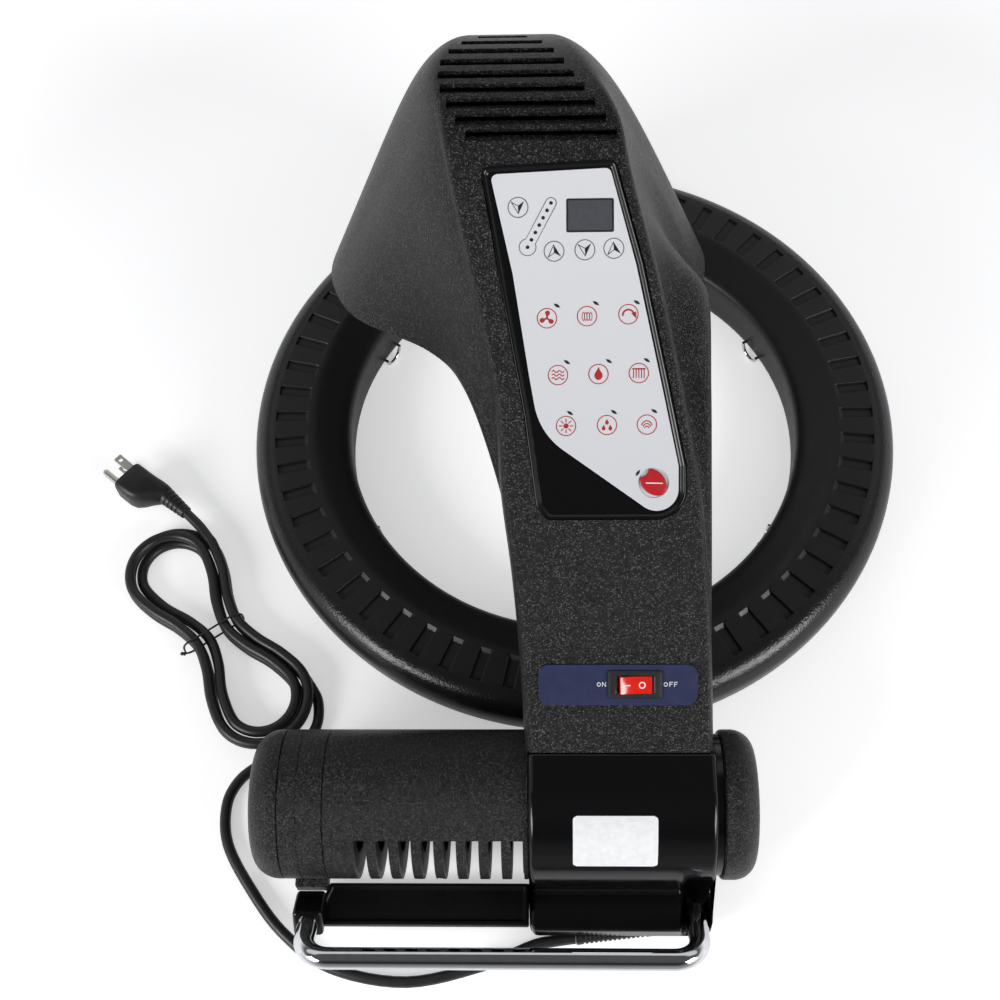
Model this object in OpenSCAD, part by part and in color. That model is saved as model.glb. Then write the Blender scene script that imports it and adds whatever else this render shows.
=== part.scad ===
// Head unit of an orbiting ring hair dryer, lying on a floor.
// Millimetres, +Z up, +X along the hinge barrel, +Y from the barrel to the bell.
// Origin: bottom centre of the object without its cord.

/* [Ring] */
// Outer radius of the ring
ring_r = 221; // [214:1:228]
// Width of the ring's band, from the hole to the outer edge
ring_band = 67; // [62:1:74]
// Height of the ring body
ring_h = 45; // [40:0.5:46]
// Wall of the ring shells
ring_wall = 3; // [2.4:0.2:3.6]
// Number of radial slots in the upper face
slot_count = 60; // [40:4:72]
// Width of one radial slot
slot_w = 7.4; // [5:0.2:9]
// Length of one radial slot
slot_len = 22; // [18:1:25]
// Distance of the slots from the ring's outer edge
slot_edge = 16; // [14:1:20]
// Depth of the slots
slot_depth = 1.8; // [1:0.1:2]
// Number of wire guard hoops
hoop_count = 6; // [4:1:10]
// Wire diameter of the guard hoops
hoop_wire = 2.2; // [1.6:0.2:3]
// Diameter of a heater tube
heater_d = 10; // [8:0.5:11]

/* [Rotor] */
// Lean of the orbit axis from upright
axis_tilt = 24; // [22:0.5:26]
// Distance of the orbit axis from the ring's centre, along the ring's plane
axis_offset = 50.1; // [46:0.5:54]
// Height of the foot of the orbit axis over the floor
axis_foot = 2.7; // [0:0.1:6]
// Clearance of the bell's mouth over the highest point of the ring
mouth_gap = 0.29; // [0.25:0.01:2]
// Radius of the rotor disc
rotor_r = 80; // [70:1:82]
// Thickness of the rotor disc
rotor_t = 5; // [4:0.5:6]
// Radius of the rotor shaft
shaft_r = 10; // [8:0.5:12]
// Running clearance of a shaft in its bush, on the radius
run_gap = 0.06; // [0.03:0.01:0.1]
// Gear module
gear_mod = 1.5; // [1.25:0.25:1.75]
// Teeth of the rotor gear
gear_teeth = 72; // [64:2:76]
// Teeth of the drive pinion
pinion_teeth = 14; // [12:1:16]
// Face width of the gears
gear_w = 8; // [6:1:9]
// Radius of the drive motor's can
motor_r = 18; // [14:1:20]
// Length of the drive motor's can
motor_len = 42; // [30:1:50]

/* [Fan] */
// Radius of the fan wheel
fan_r = 38; // [30:1:40]
// Height of the fan above the bell's mouth
fan_lift = 84; // [80:1:90]
// Number of fan blades
fan_blades = 7; // [5:1:9]

/* [Housing] */
// Radius of the bell's mouth
bell_r = 128; // [124:0.5:130]
// Sideways place of the bell's centre
bell_x = -37; // [-40:0.5:-34]
// Wall of the housing shells
wall = 3; // [2.4:0.2:3.4]
// Slope of the arm's face
face_slope = 32.8; // [31.5:0.1:34]
// Depth of the arm square to its face
arm_depth = 36; // [32:1:40]
// Height of the arm's face where it meets the elbow
arm_z = 93; // [91.5:0.5:96]
// Half width of the arm's face at the elbow
face_half = 50; // [46:0.5:51]
// Number of vent slots over the crown
vent_count = 9; // [5:1:9]
// Width of one vent slot
vent_w = 5.6; // [4:0.2:6.5]
// Spacing of the vent slots along the crown
vent_pitch = 13; // [11:0.2:14]
// Depth of the panel recess
recess_depth = 2; // [1:0.2:2.4]

/* [Panel] */
// Distance of the panel's lower edge below the crown, along the face
panel_drop = 197.1; // [194:0.1:201]
// Thickness of the control overlay
overlay_t = 0.8; // [0.5:0.1:1.2]
// Travel of the start key
key_travel = 0.6; // [0.3:0.1:0.8]
// Radius of the start key
key_r = 8.6; // [7:0.2:9]
// Length of the switch plate
plate_len = 92; // [86:1:94]
// Height of the switch plate
plate_h = 23.7; // [20:0.5:24]
// Length of the rocker frame
rocker_len = 31; // [28:0.5:33]
// Width of the rocker frame
rocker_w = 16.4; // [15:0.2:17]
// Rocker angle to either side
rocker_tip = 7; // [5:0.5:7.5]

/* [Barrel] */
// Outer radius of the hinge barrel
barrel_r = 44.5; // [42:0.5:46]
// Distance from the ring's outer edge to the barrel's axis
barrel_gap = 54.5; // [52:0.5:58]
// Left end of the turning barrel
barrel_x1 = -148.5; // [-151:0.5:-146]
// Left side of the elbow
elbow_x1 = -29; // [-31:0.5:-27]
// Right side of the elbow
elbow_x2 = 80.5; // [78:0.5:82]
// Wall of the barrel shells
barrel_wall = 3.4; // [2.6:0.2:4]
// Number of slots in the barrel's grille
grille_count = 8; // [5:1:8]
// Spacing of the grille's ribs
grille_pitch = 13.1; // [11.5:0.1:13.2]
// Width of one grille slot
grille_w = 7.6; // [5:0.2:8.4]
// Angle that the grille's slots run round the barrel
grille_arc = 144; // [80:1:146]
// Radius of the stand socket's bore
socket_r = 12.6; // [10:0.1:14]
// Depth of the stand socket
socket_len = 60; // [45:1:64]
// Radius of the hinge pins
pin_r = 8; // [6:0.5:10]

/* [Yoke and handle] */
// Thickness of the yoke plate
yoke_t = 5; // [4:0.5:6]
// Height of the yoke plate over the floor
yoke_z = 4; // [2:0.5:5]
// Radius of the handle tube
handle_r = 6.35; // [5.5:0.05:6.8]
// Span of the handle between its legs
handle_span = 233; // [228:1:236]
// Bend radius of the handle
handle_bend = 16; // [13:0.5:20]

/* [Cord] */
// Diameter of the power cord
cord_d = 7; // [6.6:0.1:7.2]
// Number of loops in the cord's hank
hank_loops = 4; // [2:2:4]

/* [Hidden] */
$fn = 64;
ring_y = 76;
seat = 0.3;            // gap between a piece and what carries it
play = 0.4;            // gap between pieces that pass each other
floor_t = 2;           // plate across the mouth of the bell
floor_gap = 4.6;       // from the plate's edge to the shell's wall
barrel_y = ring_y - ring_r - barrel_gap;
axis_y = ring_y + axis_offset;
hole_r = ring_r - ring_band;
bead = 17;             // radius of the ring's outer bead, upper quarter
// Height of the bell's mouth along the orbit axis
mouth_h = (ring_y + ring_r - bead - axis_y) * sin(axis_tilt) + (ring_h - bead - axis_foot) * cos(axis_tilt)
  + bead + mouth_gap;
slot_r2 = ring_r - slot_edge;
slot_r1 = slot_r2 - slot_len;
heater_r = ring_r - ring_band / 2 + 0.5;    // circle that the heater tubes lie on
black = [0.06, 0.06, 0.065];
gloss = [0.03, 0.03, 0.035];
steel = [0.75, 0.76, 0.78];

// ---- small helpers ----
module at_ring() { translate([0, ring_y, 0]) children(); }
module at_axis() { translate([0, axis_y, axis_foot]) rotate([-axis_tilt, 0, 0]) children(); }
module at_barrel() { translate([0, barrel_y, barrel_r]) rotate([90, 0, 90]) children(); }
module at_face(x = 0, v = 0) {
  translate([x, 0, 0]) translate([0, arm_y, arm_z]) rotate([face_slope, 0, 0])
    translate([0, v, 0]) children();
}
module tube(r1, r2, h) {
  difference() {
    cylinder(r = r2, h = h);
    translate([0, 0, -1]) cylinder(r = r1, h = h + 2);
  }
}
module rounded(w, h, r) {
  hull() for (x = [-w / 2 + r, w / 2 - r], y = [-h / 2 + r, h / 2 - r])
    translate([x, y]) circle(r = r, $fn = 32);
}
function unit(v) = v / norm(v);
function mix(a, b, t) = a + (b - a) * t;
function circle_pts(r, a1, a2, n) = [for (i = [0:n]) let (a = a1 + (a2 - a1) * i / n)
  [r * cos(a), r * sin(a)]];

// ---- the housing: one surface from the elbow over the crown to the bell's mouth ----
arm_y = barrel_y + 15.5;                    // where the face meets the elbow
crown_y = ring_y + 20;                      // where the face turns into the crown
face_len = (crown_y - arm_y) / cos(face_slope);
panel_v = face_len - panel_drop;
slope = [0, cos(face_slope), sin(face_slope)];
inward = [0, sin(face_slope), -cos(face_slope)];
bell_c = [bell_x, axis_y + mouth_h * sin(axis_tilt), axis_foot + mouth_h * cos(axis_tilt)];
bell_up = [0, sin(axis_tilt), cos(axis_tilt)];
bell_front = [0, -cos(axis_tilt), sin(axis_tilt)];
// A point of the mouth's rim; 0 is in front, positive to the right
function rim(a) = bell_c + bell_r * (sin(a) * [1, 0, 0] + cos(a) * bell_front);
// The crown: a cubic from the end of the face down to the back of the mouth
crown = [[0, arm_y, arm_z] + face_len * slope, [0, arm_y, arm_z] + (face_len + 83) * slope,
  [0, ring_y + 215, 258], rim(180) + [-bell_x, 2, 3]];
function crown_pt(t) = pow(1 - t, 3) * crown[0] + 3 * t * pow(1 - t, 2) * crown[1]
  + 3 * t * t * (1 - t) * crown[2] + pow(t, 3) * crown[3];
function face_pt(v) = [0, arm_y, arm_z] + v * slope;
// Stations: [spine point, spine x, half width, left edge, right edge, edge depth]
function arm_edge(v, x, depth) = face_pt(v) + [x, 0, 0] + depth * inward;
arm_r = elbow_x2 - 0.5;
KEY = [
  [face_pt(0), 24.4, face_half, arm_edge(0, elbow_x1 - 3, arm_depth), arm_edge(0, arm_r + 2, arm_depth)],
  [face_pt(55), 22.5, face_half + 1, arm_edge(55, elbow_x1 - 5, arm_depth), arm_edge(55, arm_r + 1, arm_depth)],
  [face_pt(104), 19, 52, arm_edge(104, elbow_x1 - 8, arm_depth), arm_edge(104, arm_r + 1, arm_depth)],
  [face_pt(152), 14, 53, arm_edge(152, elbow_x1 - 17, arm_depth + 2), arm_edge(152, arm_r + 1, arm_depth + 2)],
  [face_pt(face_len - 124), 7, 50, arm_edge(face_len - 124, elbow_x1 - 37, arm_depth + 11),
    arm_edge(face_len - 124, arm_r + 1, arm_depth + 6)],
  [face_pt(face_len - 66), -1, 46, rim(-25), arm_edge(face_len - 66, arm_r + 2, arm_depth + 34)],
  [face_pt(face_len - 3), -14.7, 43.4, rim(-54), rim(64)],
  [crown_pt(0.14), -24, 45, rim(-76), rim(78)],
  [crown_pt(0.28), -36, 46, rim(-95), rim(95)],
  [crown_pt(0.42), -40, 42, rim(-113), rim(113)],
  [crown_pt(0.56), -40, 34, rim(-131), rim(131)],
  [crown_pt(0.70), -39, 26, rim(-148), rim(148)],
  [crown_pt(0.84), -37, 17, rim(-163), rim(163)],
  [crown_pt(0.95), -37, 9, rim(-173), rim(173)]];
// Catmull-Rom between the stations
function spline(a, b, c, d, t) = 0.5 * ((2 * b) + (c - a) * t + (2 * a - 5 * b + 4 * c - d) * t * t
  + (3 * b - a - 3 * c + d) * t * t * t);
function key_at(k, j) = KEY[max(0, min(len(KEY) - 1, k))][j];
function station(s, j) = let (k = floor(s), t = s - k)
  spline(key_at(k - 1, j), key_at(k, j), key_at(k + 1, j), key_at(k + 2, j), t);
steps = 2;             // sections per station
flank = 8;             // points down each flank
last = len(KEY) - 1;
sections = [for (i = [0:steps * last]) i / steps];
function bezier(a, b, c, d, t) = pow(1 - t, 3) * a + 3 * t * pow(1 - t, 2) * b
  + 3 * t * t * (1 - t) * c + pow(t, 3) * d;
// Blend from arm (0) to bell (1) along the stations
function belly(s) = let (t = max(0, min(1, (s - 3) / 4))) t * t * (3 - 2 * t);
function flank_pts(top, edge, side, s) = let (
    b = belly(s), len_f = norm(edge - top),
    radial = unit(edge - bell_c), up = mix(-inward, bell_up * 0.9 - radial * 0.42, b),
    round = min(mix(13, 17, b), len_f * 0.4))
  [for (i = [0:flank]) bezier(top, top + round * [side, 0, 0], edge + unit(up) * len_f * mix(0.62, 0.55, b),
    edge, i / flank)];
function section(s) = let (t = station(s, 0), x = station(s, 1), w = station(s, 2),
    top = [x, t[1], t[2]], l = [x - w, t[1], t[2]], r = [x + w, t[1], t[2]],
    lf = flank_pts(l, station(s, 3), -1, s), rf = flank_pts(r, station(s, 4), 1, s))
  concat([for (i = [flank:-1:0]) lf[i]], [mix(l, top, 0.5), top, mix(top, r, 0.5)],
    [for (i = [0:flank]) rf[i]]);
outer = [for (s = sections) section(s)];
ni = len(outer);
nj = len(outer[0]);
function normal_at(i, j) = let (a = outer[max(0, i - 1)][j], b = outer[min(ni - 1, i + 1)][j],
    c = outer[i][max(0, j - 1)], d = outer[i][min(nj - 1, j + 1)])
  unit(cross(d - c, b - a));
inner = [for (i = [0:ni - 1]) [for (j = [0:nj - 1]) outer[i][j] - wall * normal_at(i, j)]];
// Faces of a closed shell between two grids of n by m points
function grid_shell(n, m) = let (k = n * m) concat(
  [for (i = [0:n - 2], j = [0:m - 2]) each [[i * m + j, i * m + j + 1, (i + 1) * m + j],
    [i * m + j + 1, (i + 1) * m + j + 1, (i + 1) * m + j]]],
  [for (i = [0:n - 2], j = [0:m - 2]) each [[k + i * m + j, k + (i + 1) * m + j, k + i * m + j + 1],
    [k + i * m + j + 1, k + (i + 1) * m + j, k + (i + 1) * m + j + 1]]],
  [for (j = [0:m - 2]) each [[j, k + j, j + 1], [j + 1, k + j, k + j + 1]]],
  [for (j = [0:m - 2]) let (q = (n - 1) * m) each [[q + j, q + j + 1, k + q + j], [q + j + 1, k + q + j + 1, k + q + j]]],
  [for (i = [0:n - 2]) each [[i * m, (i + 1) * m, k + i * m], [(i + 1) * m, k + (i + 1) * m, k + i * m]]],
  [for (i = [0:n - 2]) let (q = m - 1) each [[i * m + q, k + i * m + q, (i + 1) * m + q],
    [(i + 1) * m + q, k + i * m + q, k + (i + 1) * m + q]]]);
function flatten(l) = [for (a = l) each a];
// The spine by distance: the face is straight, then the crown
function spine_t(v) = (v - face_len) / 330;
function vent_v(i) = face_len + 29 + i * vent_pitch + 0.3 * i * i;
function vent_x(i) = -19.5 - 23.5 * sin(min(90, i * 15));
function vent_half(i) = 43 - 0.055 * pow(i, 3);
module at_crown(v, x) {
  t = max(0, spine_t(v));
  p = v < face_len ? face_pt(v) : crown_pt(t);
  q = v < face_len ? face_pt(v + 1) : crown_pt(t + 0.01);
  translate([x, p[1], p[2]]) rotate([atan2(q[2] - p[2], q[1] - p[1]), 0, 0]) children();
}
module panel_outline(grow = 0) {
  offset(r = 5 + grow, $fn = 32) offset(delta = -5)
    polygon([[-17, panel_v], [50, panel_v], [62.5, panel_v + 12], [62.5, panel_v + 31], [53.1, panel_v + 77],
      [38.5, panel_v + 146], [23.8, panel_v + 199], [-53.6, panel_v + 199], [-41, panel_v + 122],
      [-30, panel_v + 60], [-23.5, panel_v + 8]]);
}
module arm_shell() {
  color(black) difference() {
    polyhedron(points = concat(flatten(outer), flatten(inner)), faces = grid_shell(ni, nj));
    at_face(0, 0) translate([0, 0, -12]) linear_extrude(20) panel_outline(seat);
    at_face(33.1, 40.4) translate([0, 0, -14]) linear_extrude(20) square([rocker_len - 4, rocker_w - 3], center = true);
    for (i = [0:vent_count - 1])
      at_crown(vent_v(i), vent_x(i)) translate([0, 0, -9]) linear_extrude(16)
        square([2 * vent_half(i), vent_w], center = true);
    at_barrel() translate([0, 0, -200]) cylinder(r = barrel_r + play, h = 400, $fn = 96);
  }
}
base_n = 5;            // points across the underside
base_start = 0.27;     // clear of the elbow
function inset_mix(l, r, t) = let (d = unit(r - l)) mix(l + d * (wall + 0.5), r - d * (wall + 0.5), t);
base_pts = concat(
  [for (i = [0:steps * 5]) let (u = mix(base_start, 5, i / steps / 5), l = station(u, 3), r = station(u, 4),
      c = unit(cross(r - l, slope)))
    [for (k = [0:base_n]) inset_mix(l, r, k / base_n) + c * 3 * sin(180 * k / base_n)]],
  [for (j = [1:3]) let (t = j / 3)
    [for (k = [0:base_n]) let (q = k / base_n, l = station(5, 3), r = station(5 + t, 4),
        c = unit(cross(station(5, 4) - l, slope)))
      mix(inset_mix(l, r, q) + c * 3 * sin(180 * q), bell_c
        + (rim(-23 + 84 * q) - bell_c) * (bell_r - wall - 0.6) / bell_r, t)]]);
base_back = [for (i = [0:len(base_pts) - 1]) let (t = max(0, min(1, (i - steps * 4) / 5)))
  [for (k = [0:base_n]) base_pts[i][k] + unit(mix([0, -sin(face_slope), cos(face_slope)], [0, 0.75, 0.66], t)) * 2.4]];
module arm_base() {
  n = len(base_pts);
  color(black) polyhedron(points = concat(flatten(base_back), flatten(base_pts)), faces = grid_shell(n, base_n + 1));
}
module bell_floor() {
  color(black) at_axis() difference() {
    translate([bell_x, 0, mouth_h + 0.6]) cylinder(r = bell_r - wall - floor_gap, h = floor_t, $fn = 96);
    translate([0, 0, mouth_h - 1]) cylinder(r = rotor_r + play, h = 8, $fn = 96);
    translate([bell_x - 150, -bell_r - 1, mouth_h - 1]) cube([300, 33, 8]);
  }
}

// ---- panel ----
module panel_bezel() {
  color(gloss) at_face() difference() {
    translate([0, 0, -recess_depth - 5]) linear_extrude(recess_depth + 4) panel_outline();
    translate([0, 0, -recess_depth]) linear_extrude(6) panel_outline(-4);
    translate([0, 0, -recess_depth - 6]) linear_extrude(4.5) panel_outline(-3);
  }
}
module overlay_outline() {
  intersection() {
    panel_outline(-4 - seat);
    offset(r = 4, $fn = 32) offset(delta = -4)
    polygon([[-48, panel_v + 193], [20, panel_v + 193], [28, panel_v + 174], [43, panel_v + 112],
      [55, panel_v + 55], [58.4, panel_v + 26], [57, panel_v + 9], [46, panel_v + 5], [23.5, panel_v + 18],
      [-12, panel_v + 43], [-19.5, panel_v + 50], [-23.5, panel_v + 62], [-27, panel_v + 82],
      [-36, panel_v + 140]]);
  }
}
module control_overlay() {
  color([0.72, 0.73, 0.76]) at_face() translate([0, 0, -recess_depth]) difference() {
    linear_extrude(overlay_t) overlay_outline();
    translate([8, panel_v + 173, -1]) linear_extrude(4) square([26, 18], center = true);
    translate([44, panel_v + 21, -1]) cylinder(r = key_r + seat, h = 4);
  }
}
module timer_display() {
  color([0.2, 0.22, 0.22]) at_face(8, panel_v + 173) translate([0, 0, -recess_depth])
    linear_extrude(overlay_t) square([26 - 2 * seat, 18 - 2 * seat], center = true);
}
module start_key() {
  color([0.75, 0.08, 0.08]) at_face(44, panel_v + 21) translate([0, 0, -recess_depth + key_travel + 0.1]) {
    cylinder(r = key_r, h = overlay_t + 0.4);
  }
}
module control_board() {
  color([0.1, 0.35, 0.15]) at_face() translate([0, 0, -recess_depth - 8]) linear_extrude(1.6)
    offset(r = 2) polygon([[-38, panel_v + 190], [16, panel_v + 190], [40, panel_v + 90], [48, panel_v + 22],
      [0, panel_v + 22], [-24, panel_v + 90]]);
  color(steel) at_face() for (p = [[-34, 180], [12, 180], [38, 40], [2, 40]])
    translate([p[0], panel_v + p[1], -recess_depth - 6.4]) cylinder(r = 2.5, h = 4.8);
}
rocker_x = 33.1;
rocker_v = 40.4;
frame_in = [20.4, 10.8];
module switch_plate() {
  color([0.16, 0.18, 0.32]) at_face(23.2, 40) translate([0, 0, 0.05]) difference() {
    linear_extrude(1) rounded(plate_len, plate_h, 6);
    translate([rocker_x - 23.2, 0.4, -1]) linear_extrude(4) square([rocker_len - 4 + 2 * seat, rocker_w - 3 + 2 * seat], center = true);
  }
}
module switch_frame() {
  color([0.12, 0.12, 0.13]) at_face(rocker_x, rocker_v) difference() {
    union() {
      translate([0, 0, 1.1]) linear_extrude(1.6) rounded(rocker_len, rocker_w, 1.5);
      translate([0, 0, -12]) linear_extrude(13.5) square([rocker_len - 5, rocker_w - 3.6], center = true);
    }
    translate([0, 0, -10]) linear_extrude(20) square(frame_in, center = true);
  }
}
module rocker() {
  color([0.8, 0.08, 0.06]) at_face(rocker_x, rocker_v) translate([0, 0, 0.6]) rotate([90, 0, 0])
    translate([0, 0, -(frame_in[1] - 0.8) / 2]) linear_extrude(frame_in[1] - 0.8) rotate([0, 0, -rocker_tip])
      polygon([[-9.4, -1], [-9.4, 4.4], [0, 3.2], [9.4, 4.4], [9.4, -1], [3, -4], [-3, -4]]);
}
// ---- elbow and yoke ----
elbow_gap = 3;         // wall of the elbow over the barrel
elbow_r = barrel_r + seat + elbow_gap + 1.2;
// Everything past the plane in which the arm begins
module past_elbow() {
  translate([arm_y - barrel_y, arm_z - barrel_r]) rotate([0, 0, face_slope]) translate([-0.05, -200])
    square([100, 400]);
}
module elbow_profile(r) {
  // barrel frame: x is toward the bell, y is up
  difference() {
    union() {
      circle(r = r, $fn = 96);
      polygon([[-20, 30], [-14, r - 0.6], [arm_y - barrel_y, arm_z - barrel_r],
        [arm_y - barrel_y + sin(face_slope) * arm_depth, arm_z - barrel_r - cos(face_slope) * arm_depth],
        [30, 14], [0, 0]]);
      translate([-71, yoke_z + yoke_t + seat - barrel_r]) square([45, 14]);
    }
    translate([-100, -100]) square([200, 100 - barrel_r + yoke_z + yoke_t + seat]);
    past_elbow();
  }
}
boss_x1 = -162 + handle_span - 9.4;
module elbow_cover() {
  color(gloss) at_barrel() translate([0, 0, elbow_x1]) difference() {
    linear_extrude(elbow_x2 - elbow_x1) difference() {
      elbow_profile(elbow_r);
      circle(r = elbow_r - elbow_gap, $fn = 96);
      translate([play / 2, -100]) square([100, 118]);
    }
    translate([-72, yoke_z - barrel_r, -1]) cube([16.5, 9.5, notch_x2 - elbow_x1 + 1]);
    translate([-75, -60, boss_x1 - elbow_x1]) cube([25, 60, 60]);
    translate([-75, -60, boss_x1 - elbow_x1]) cube([30.5, 37, 60]);
  }
  color(gloss) at_barrel() for (x = [elbow_x1 + 4.2, elbow_x2 - 4.2]) translate([0, 0, x]) linear_extrude(4)
    difference() {
      circle(r = elbow_r - elbow_gap + 0.5, $fn = 96);
      circle(r = pin_r, $fn = 64);
      translate([-100, -100]) square([200, 100 - barrel_r + 7]);
      translate([play / 2, -100]) square([100, 118]);
      past_elbow();
    }
}
module elbow_rear() {
  // the lip stands behind the yoke plate
  lip_x = yoke_y2 - barrel_y + seat;
  color(black) at_barrel() translate([0, 0, elbow_x1 + 1]) linear_extrude(elbow_x2 - elbow_x1 - 2) {
    difference() {
      union() {
        difference() {
          circle(r = elbow_r - 0.8, $fn = 96);
          circle(r = elbow_r - elbow_gap, $fn = 96);
        }
        translate([lip_x, 0.6 - barrel_r]) square([16 - lip_x, 2.4]);
      }
      translate([-100, 3 - barrel_r]) square([100 + play / 2 + 0.3, 200]);
      translate([-100, 0.6 - barrel_r - 100]) square([200, 100]);
      translate([-1, 17.6]) square([100, 100]);
    }
    translate([lip_x, 0.6 - barrel_r]) square([2, 6.4]);
  }
}
module blank_label() {
  color([0.93, 0.93, 0.93]) at_barrel() translate([0, 0, -3.3]) rotate([0, 0, 115])
    rotate_extrude(angle = 46, $fn = 96) translate([elbow_r + 0.05, 0]) square([0.4, 48.8]);
}
yoke_y1 = barrel_y - 71;
yoke_y2 = barrel_y - 39;
notch_x2 = boss_x1 - 15.1;  // the cord leaves the yoke from here, to the left
module yoke_plate() {
  color(black) difference() {
    translate([0, 0, yoke_z]) linear_extrude(yoke_t)
      polygon([[-164, yoke_y1], [elbow_x2, yoke_y1], [elbow_x2, yoke_y2], [-152, yoke_y2]]);
    translate([-300, yoke_y1 + 3, yoke_z + yoke_t - 1.6])
      cube([300 + elbow_x1 - 4, yoke_y2 - yoke_y1 - 6, 5]);
    translate([elbow_x1, yoke_y1 - 1, yoke_z - 1]) cube([notch_x2 - elbow_x1, 15.5, yoke_t + 2]);
  }
}
band_x1 = -174.6;
module left_band() {
  color(black) {
    at_barrel() translate([0, 0, band_x1]) difference() {
      union() {
        cylinder(r = barrel_r, h = barrel_x1 - play - band_x1, $fn = 96);
      }
      translate([0, 0, 10.4]) tube(barrel_r - 0.5, barrel_r + 2, 0.9);
      translate([0, 0, 4]) cylinder(r = barrel_r - 4, h = 60, $fn = 96);
      translate([0, 0, -1]) cylinder(r = pin_r, h = 60);
    }
    translate([-172, barrel_y - 44.4, yoke_z + yoke_t]) cube([20, 11.9, 16]);
  }
}
module dome(r, h, round) {
  rotate_extrude($fn = 96) polygon(concat([[0, 0], [r, 0]],
    [for (a = [0:10:90]) [r - round + round * cos(a), h - round + round * sin(a)]], [[0, h + 1.5]]));
}
module left_end_cap() {
  color(black) at_barrel() translate([0, 0, band_x1 - 0.05]) mirror([0, 0, 1]) dome(barrel_r, 18, 14);
}
cap_x = elbow_x2 + 4;
module right_collar() {
  color(gloss) at_barrel() translate([0, 0, elbow_x2 + 0.05]) tube(pin_r, barrel_r - 2.5, cap_x - elbow_x2 - 0.1);
}
module right_end_cap() {
  color(black) at_barrel() translate([0, 0, cap_x]) dome(barrel_r, 20, 12);
}
module hinge_pins() {
  color(steel) at_barrel() {
    translate([0, 0, band_x1]) cylinder(r = pin_r, h = 46);
    translate([0, 0, elbow_x1 - 12]) cylinder(r = pin_r, h = elbow_x2 - elbow_x1 + 15.9);
  }
}
bush_r = pin_r + 3;
bush_x = [barrel_x1 + 3, elbow_x1 - 11.4];
module hinge_bushes() {
  color([0.7, 0.55, 0.25]) at_barrel() for (x = bush_x)
    translate([0, 0, x]) tube(pin_r + run_gap, bush_r, 8);
}
module friction_discs() {
  color([0.5, 0.5, 0.52]) at_barrel() {
    translate([0, 0, barrel_x1 - play - 3.5]) tube(pin_r, 26, 3.5);
    translate([0, 0, elbow_x1 + 0.2]) tube(pin_r, 26, 3.5);
  }
}
spring_turns = 8;
spring_r = pin_r + 2 + seat;
module balance_spring() {
  color(steel) sweep([for (i = [0:spring_turns * 12]) let (a = i * 30)
    [elbow_x1 + 14 + i / 12 * 6, barrel_y + spring_r * cos(a), barrel_r + spring_r * sin(a)]], 2, 6);
}
split_a = 17;          // the shells part this far in front of the top
hub_t = 3;
module barrel_half(front) {
  difference() {
    tube(barrel_r - barrel_wall, barrel_r, elbow_x1 - play - barrel_x1);
    rotate([0, 0, 90 + split_a]) translate([-100, front ? -200 + 0.1 : -0.1, -1]) cube([200, 200, 300]);
  }
}
socket_back = 12;      // the socket stands this far behind the barrel's axis
module socket_hole() {
  translate([socket_back, 0, socket_x - barrel_x1]) rotate([90, 0, 0]) cylinder(r = socket_r + 5.4, h = 60);
}
module barrel_front_shell() {
  color(black) at_barrel() translate([0, 0, barrel_x1]) difference() {
    barrel_half(true);
    for (i = [0:grille_count - 1])
      translate([0, 0, elbow_x1 - play - 2.4 - grille_w - barrel_x1 - i * grille_pitch])
        rotate([0, 0, 90 + 46]) rotate_extrude(angle = grille_arc, $fn = 96)
          translate([barrel_r - 8, 0]) square([12, grille_w]);
    socket_hole();
  }
}
module barrel_rear_shell() {
  color(black) at_barrel() translate([0, 0, barrel_x1]) difference() {
    barrel_half(false);
    socket_hole();
  }
}
module barrel_hubs() {
  color(black) at_barrel() for (x = [barrel_x1, elbow_x1 - play - hub_t])
    translate([0, 0, x]) difference() {
      union() {
        cylinder(r = barrel_r - barrel_wall - 0.05, h = hub_t, $fn = 96);
        translate([0, 0, x < -100 ? 0 : -10]) cylinder(r = bush_r + 4, h = hub_t + 10);
      }
      translate([0, 0, -20]) cylinder(r = bush_r, h = 60);
    }
}
socket_x = barrel_x1 + 60.8;
module stand_socket() {
  color([0.3, 0.3, 0.32]) translate([socket_x, barrel_y + socket_back, 0.6]) difference() {
    union() {
      cylinder(r = socket_r + 5, h = socket_len + 6);
      translate([-22, -12, 44]) cube([44, 24, 12]);
    }
    translate([0, 0, -1]) cylinder(r = socket_r, h = socket_len + 1);
    translate([0, 0, 30]) rotate([90, 0, 0]) cylinder(r = 3, h = 60);
  }
}
module clamp_screw() {
  color(steel) translate([socket_x, barrel_y + socket_back - socket_r - 0.4, 30.6]) rotate([90, 0, 0]) {
    cylinder(r = 2.95, h = 14);
    translate([0, 0, 5]) cylinder(r = 6, h = 4, $fn = 6);
  }
}

// ---- handle ----
handle_x = -162;
root = [barrel_y - 57, 14.6];
run = [barrel_y - 91.15, 40];
leg_a = atan2(run[1] - root[1], root[0] - run[0]);
leg_len = norm(run - root);
module at_handle() { translate([handle_x, run[0], run[1]]) rotate([-leg_a, 0, 0]) children(); }
module handle_leg(x, side) {
  b = handle_bend;
  translate([x, b, 0]) rotate([-90, 0, 0]) cylinder(r = handle_r, h = leg_len - b);
  translate([x + side * b, b, 0]) rotate([0, 0, side > 0 ? 180 : 270])
    rotate_extrude(angle = 90, $fn = 48) translate([b, 0]) circle(r = handle_r, $fn = 32);
}
module handle_tube() {
  color(steel) at_handle() {
    handle_leg(0, 1);
    handle_leg(handle_span, -1);
    translate([handle_bend, 0, 0]) rotate([0, 90, 0]) cylinder(r = handle_r, h = handle_span - 2 * handle_bend);
  }
}
module handle_foot(w) {
  difference() {
    translate([-w / 2, leg_len - 14, -9]) cube([w, 22, 18]);
    translate([0, 0, 0]) rotate([-90, 0, 0]) cylinder(r = handle_r + 0.05, h = leg_len + 0.05);
  }
}
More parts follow.
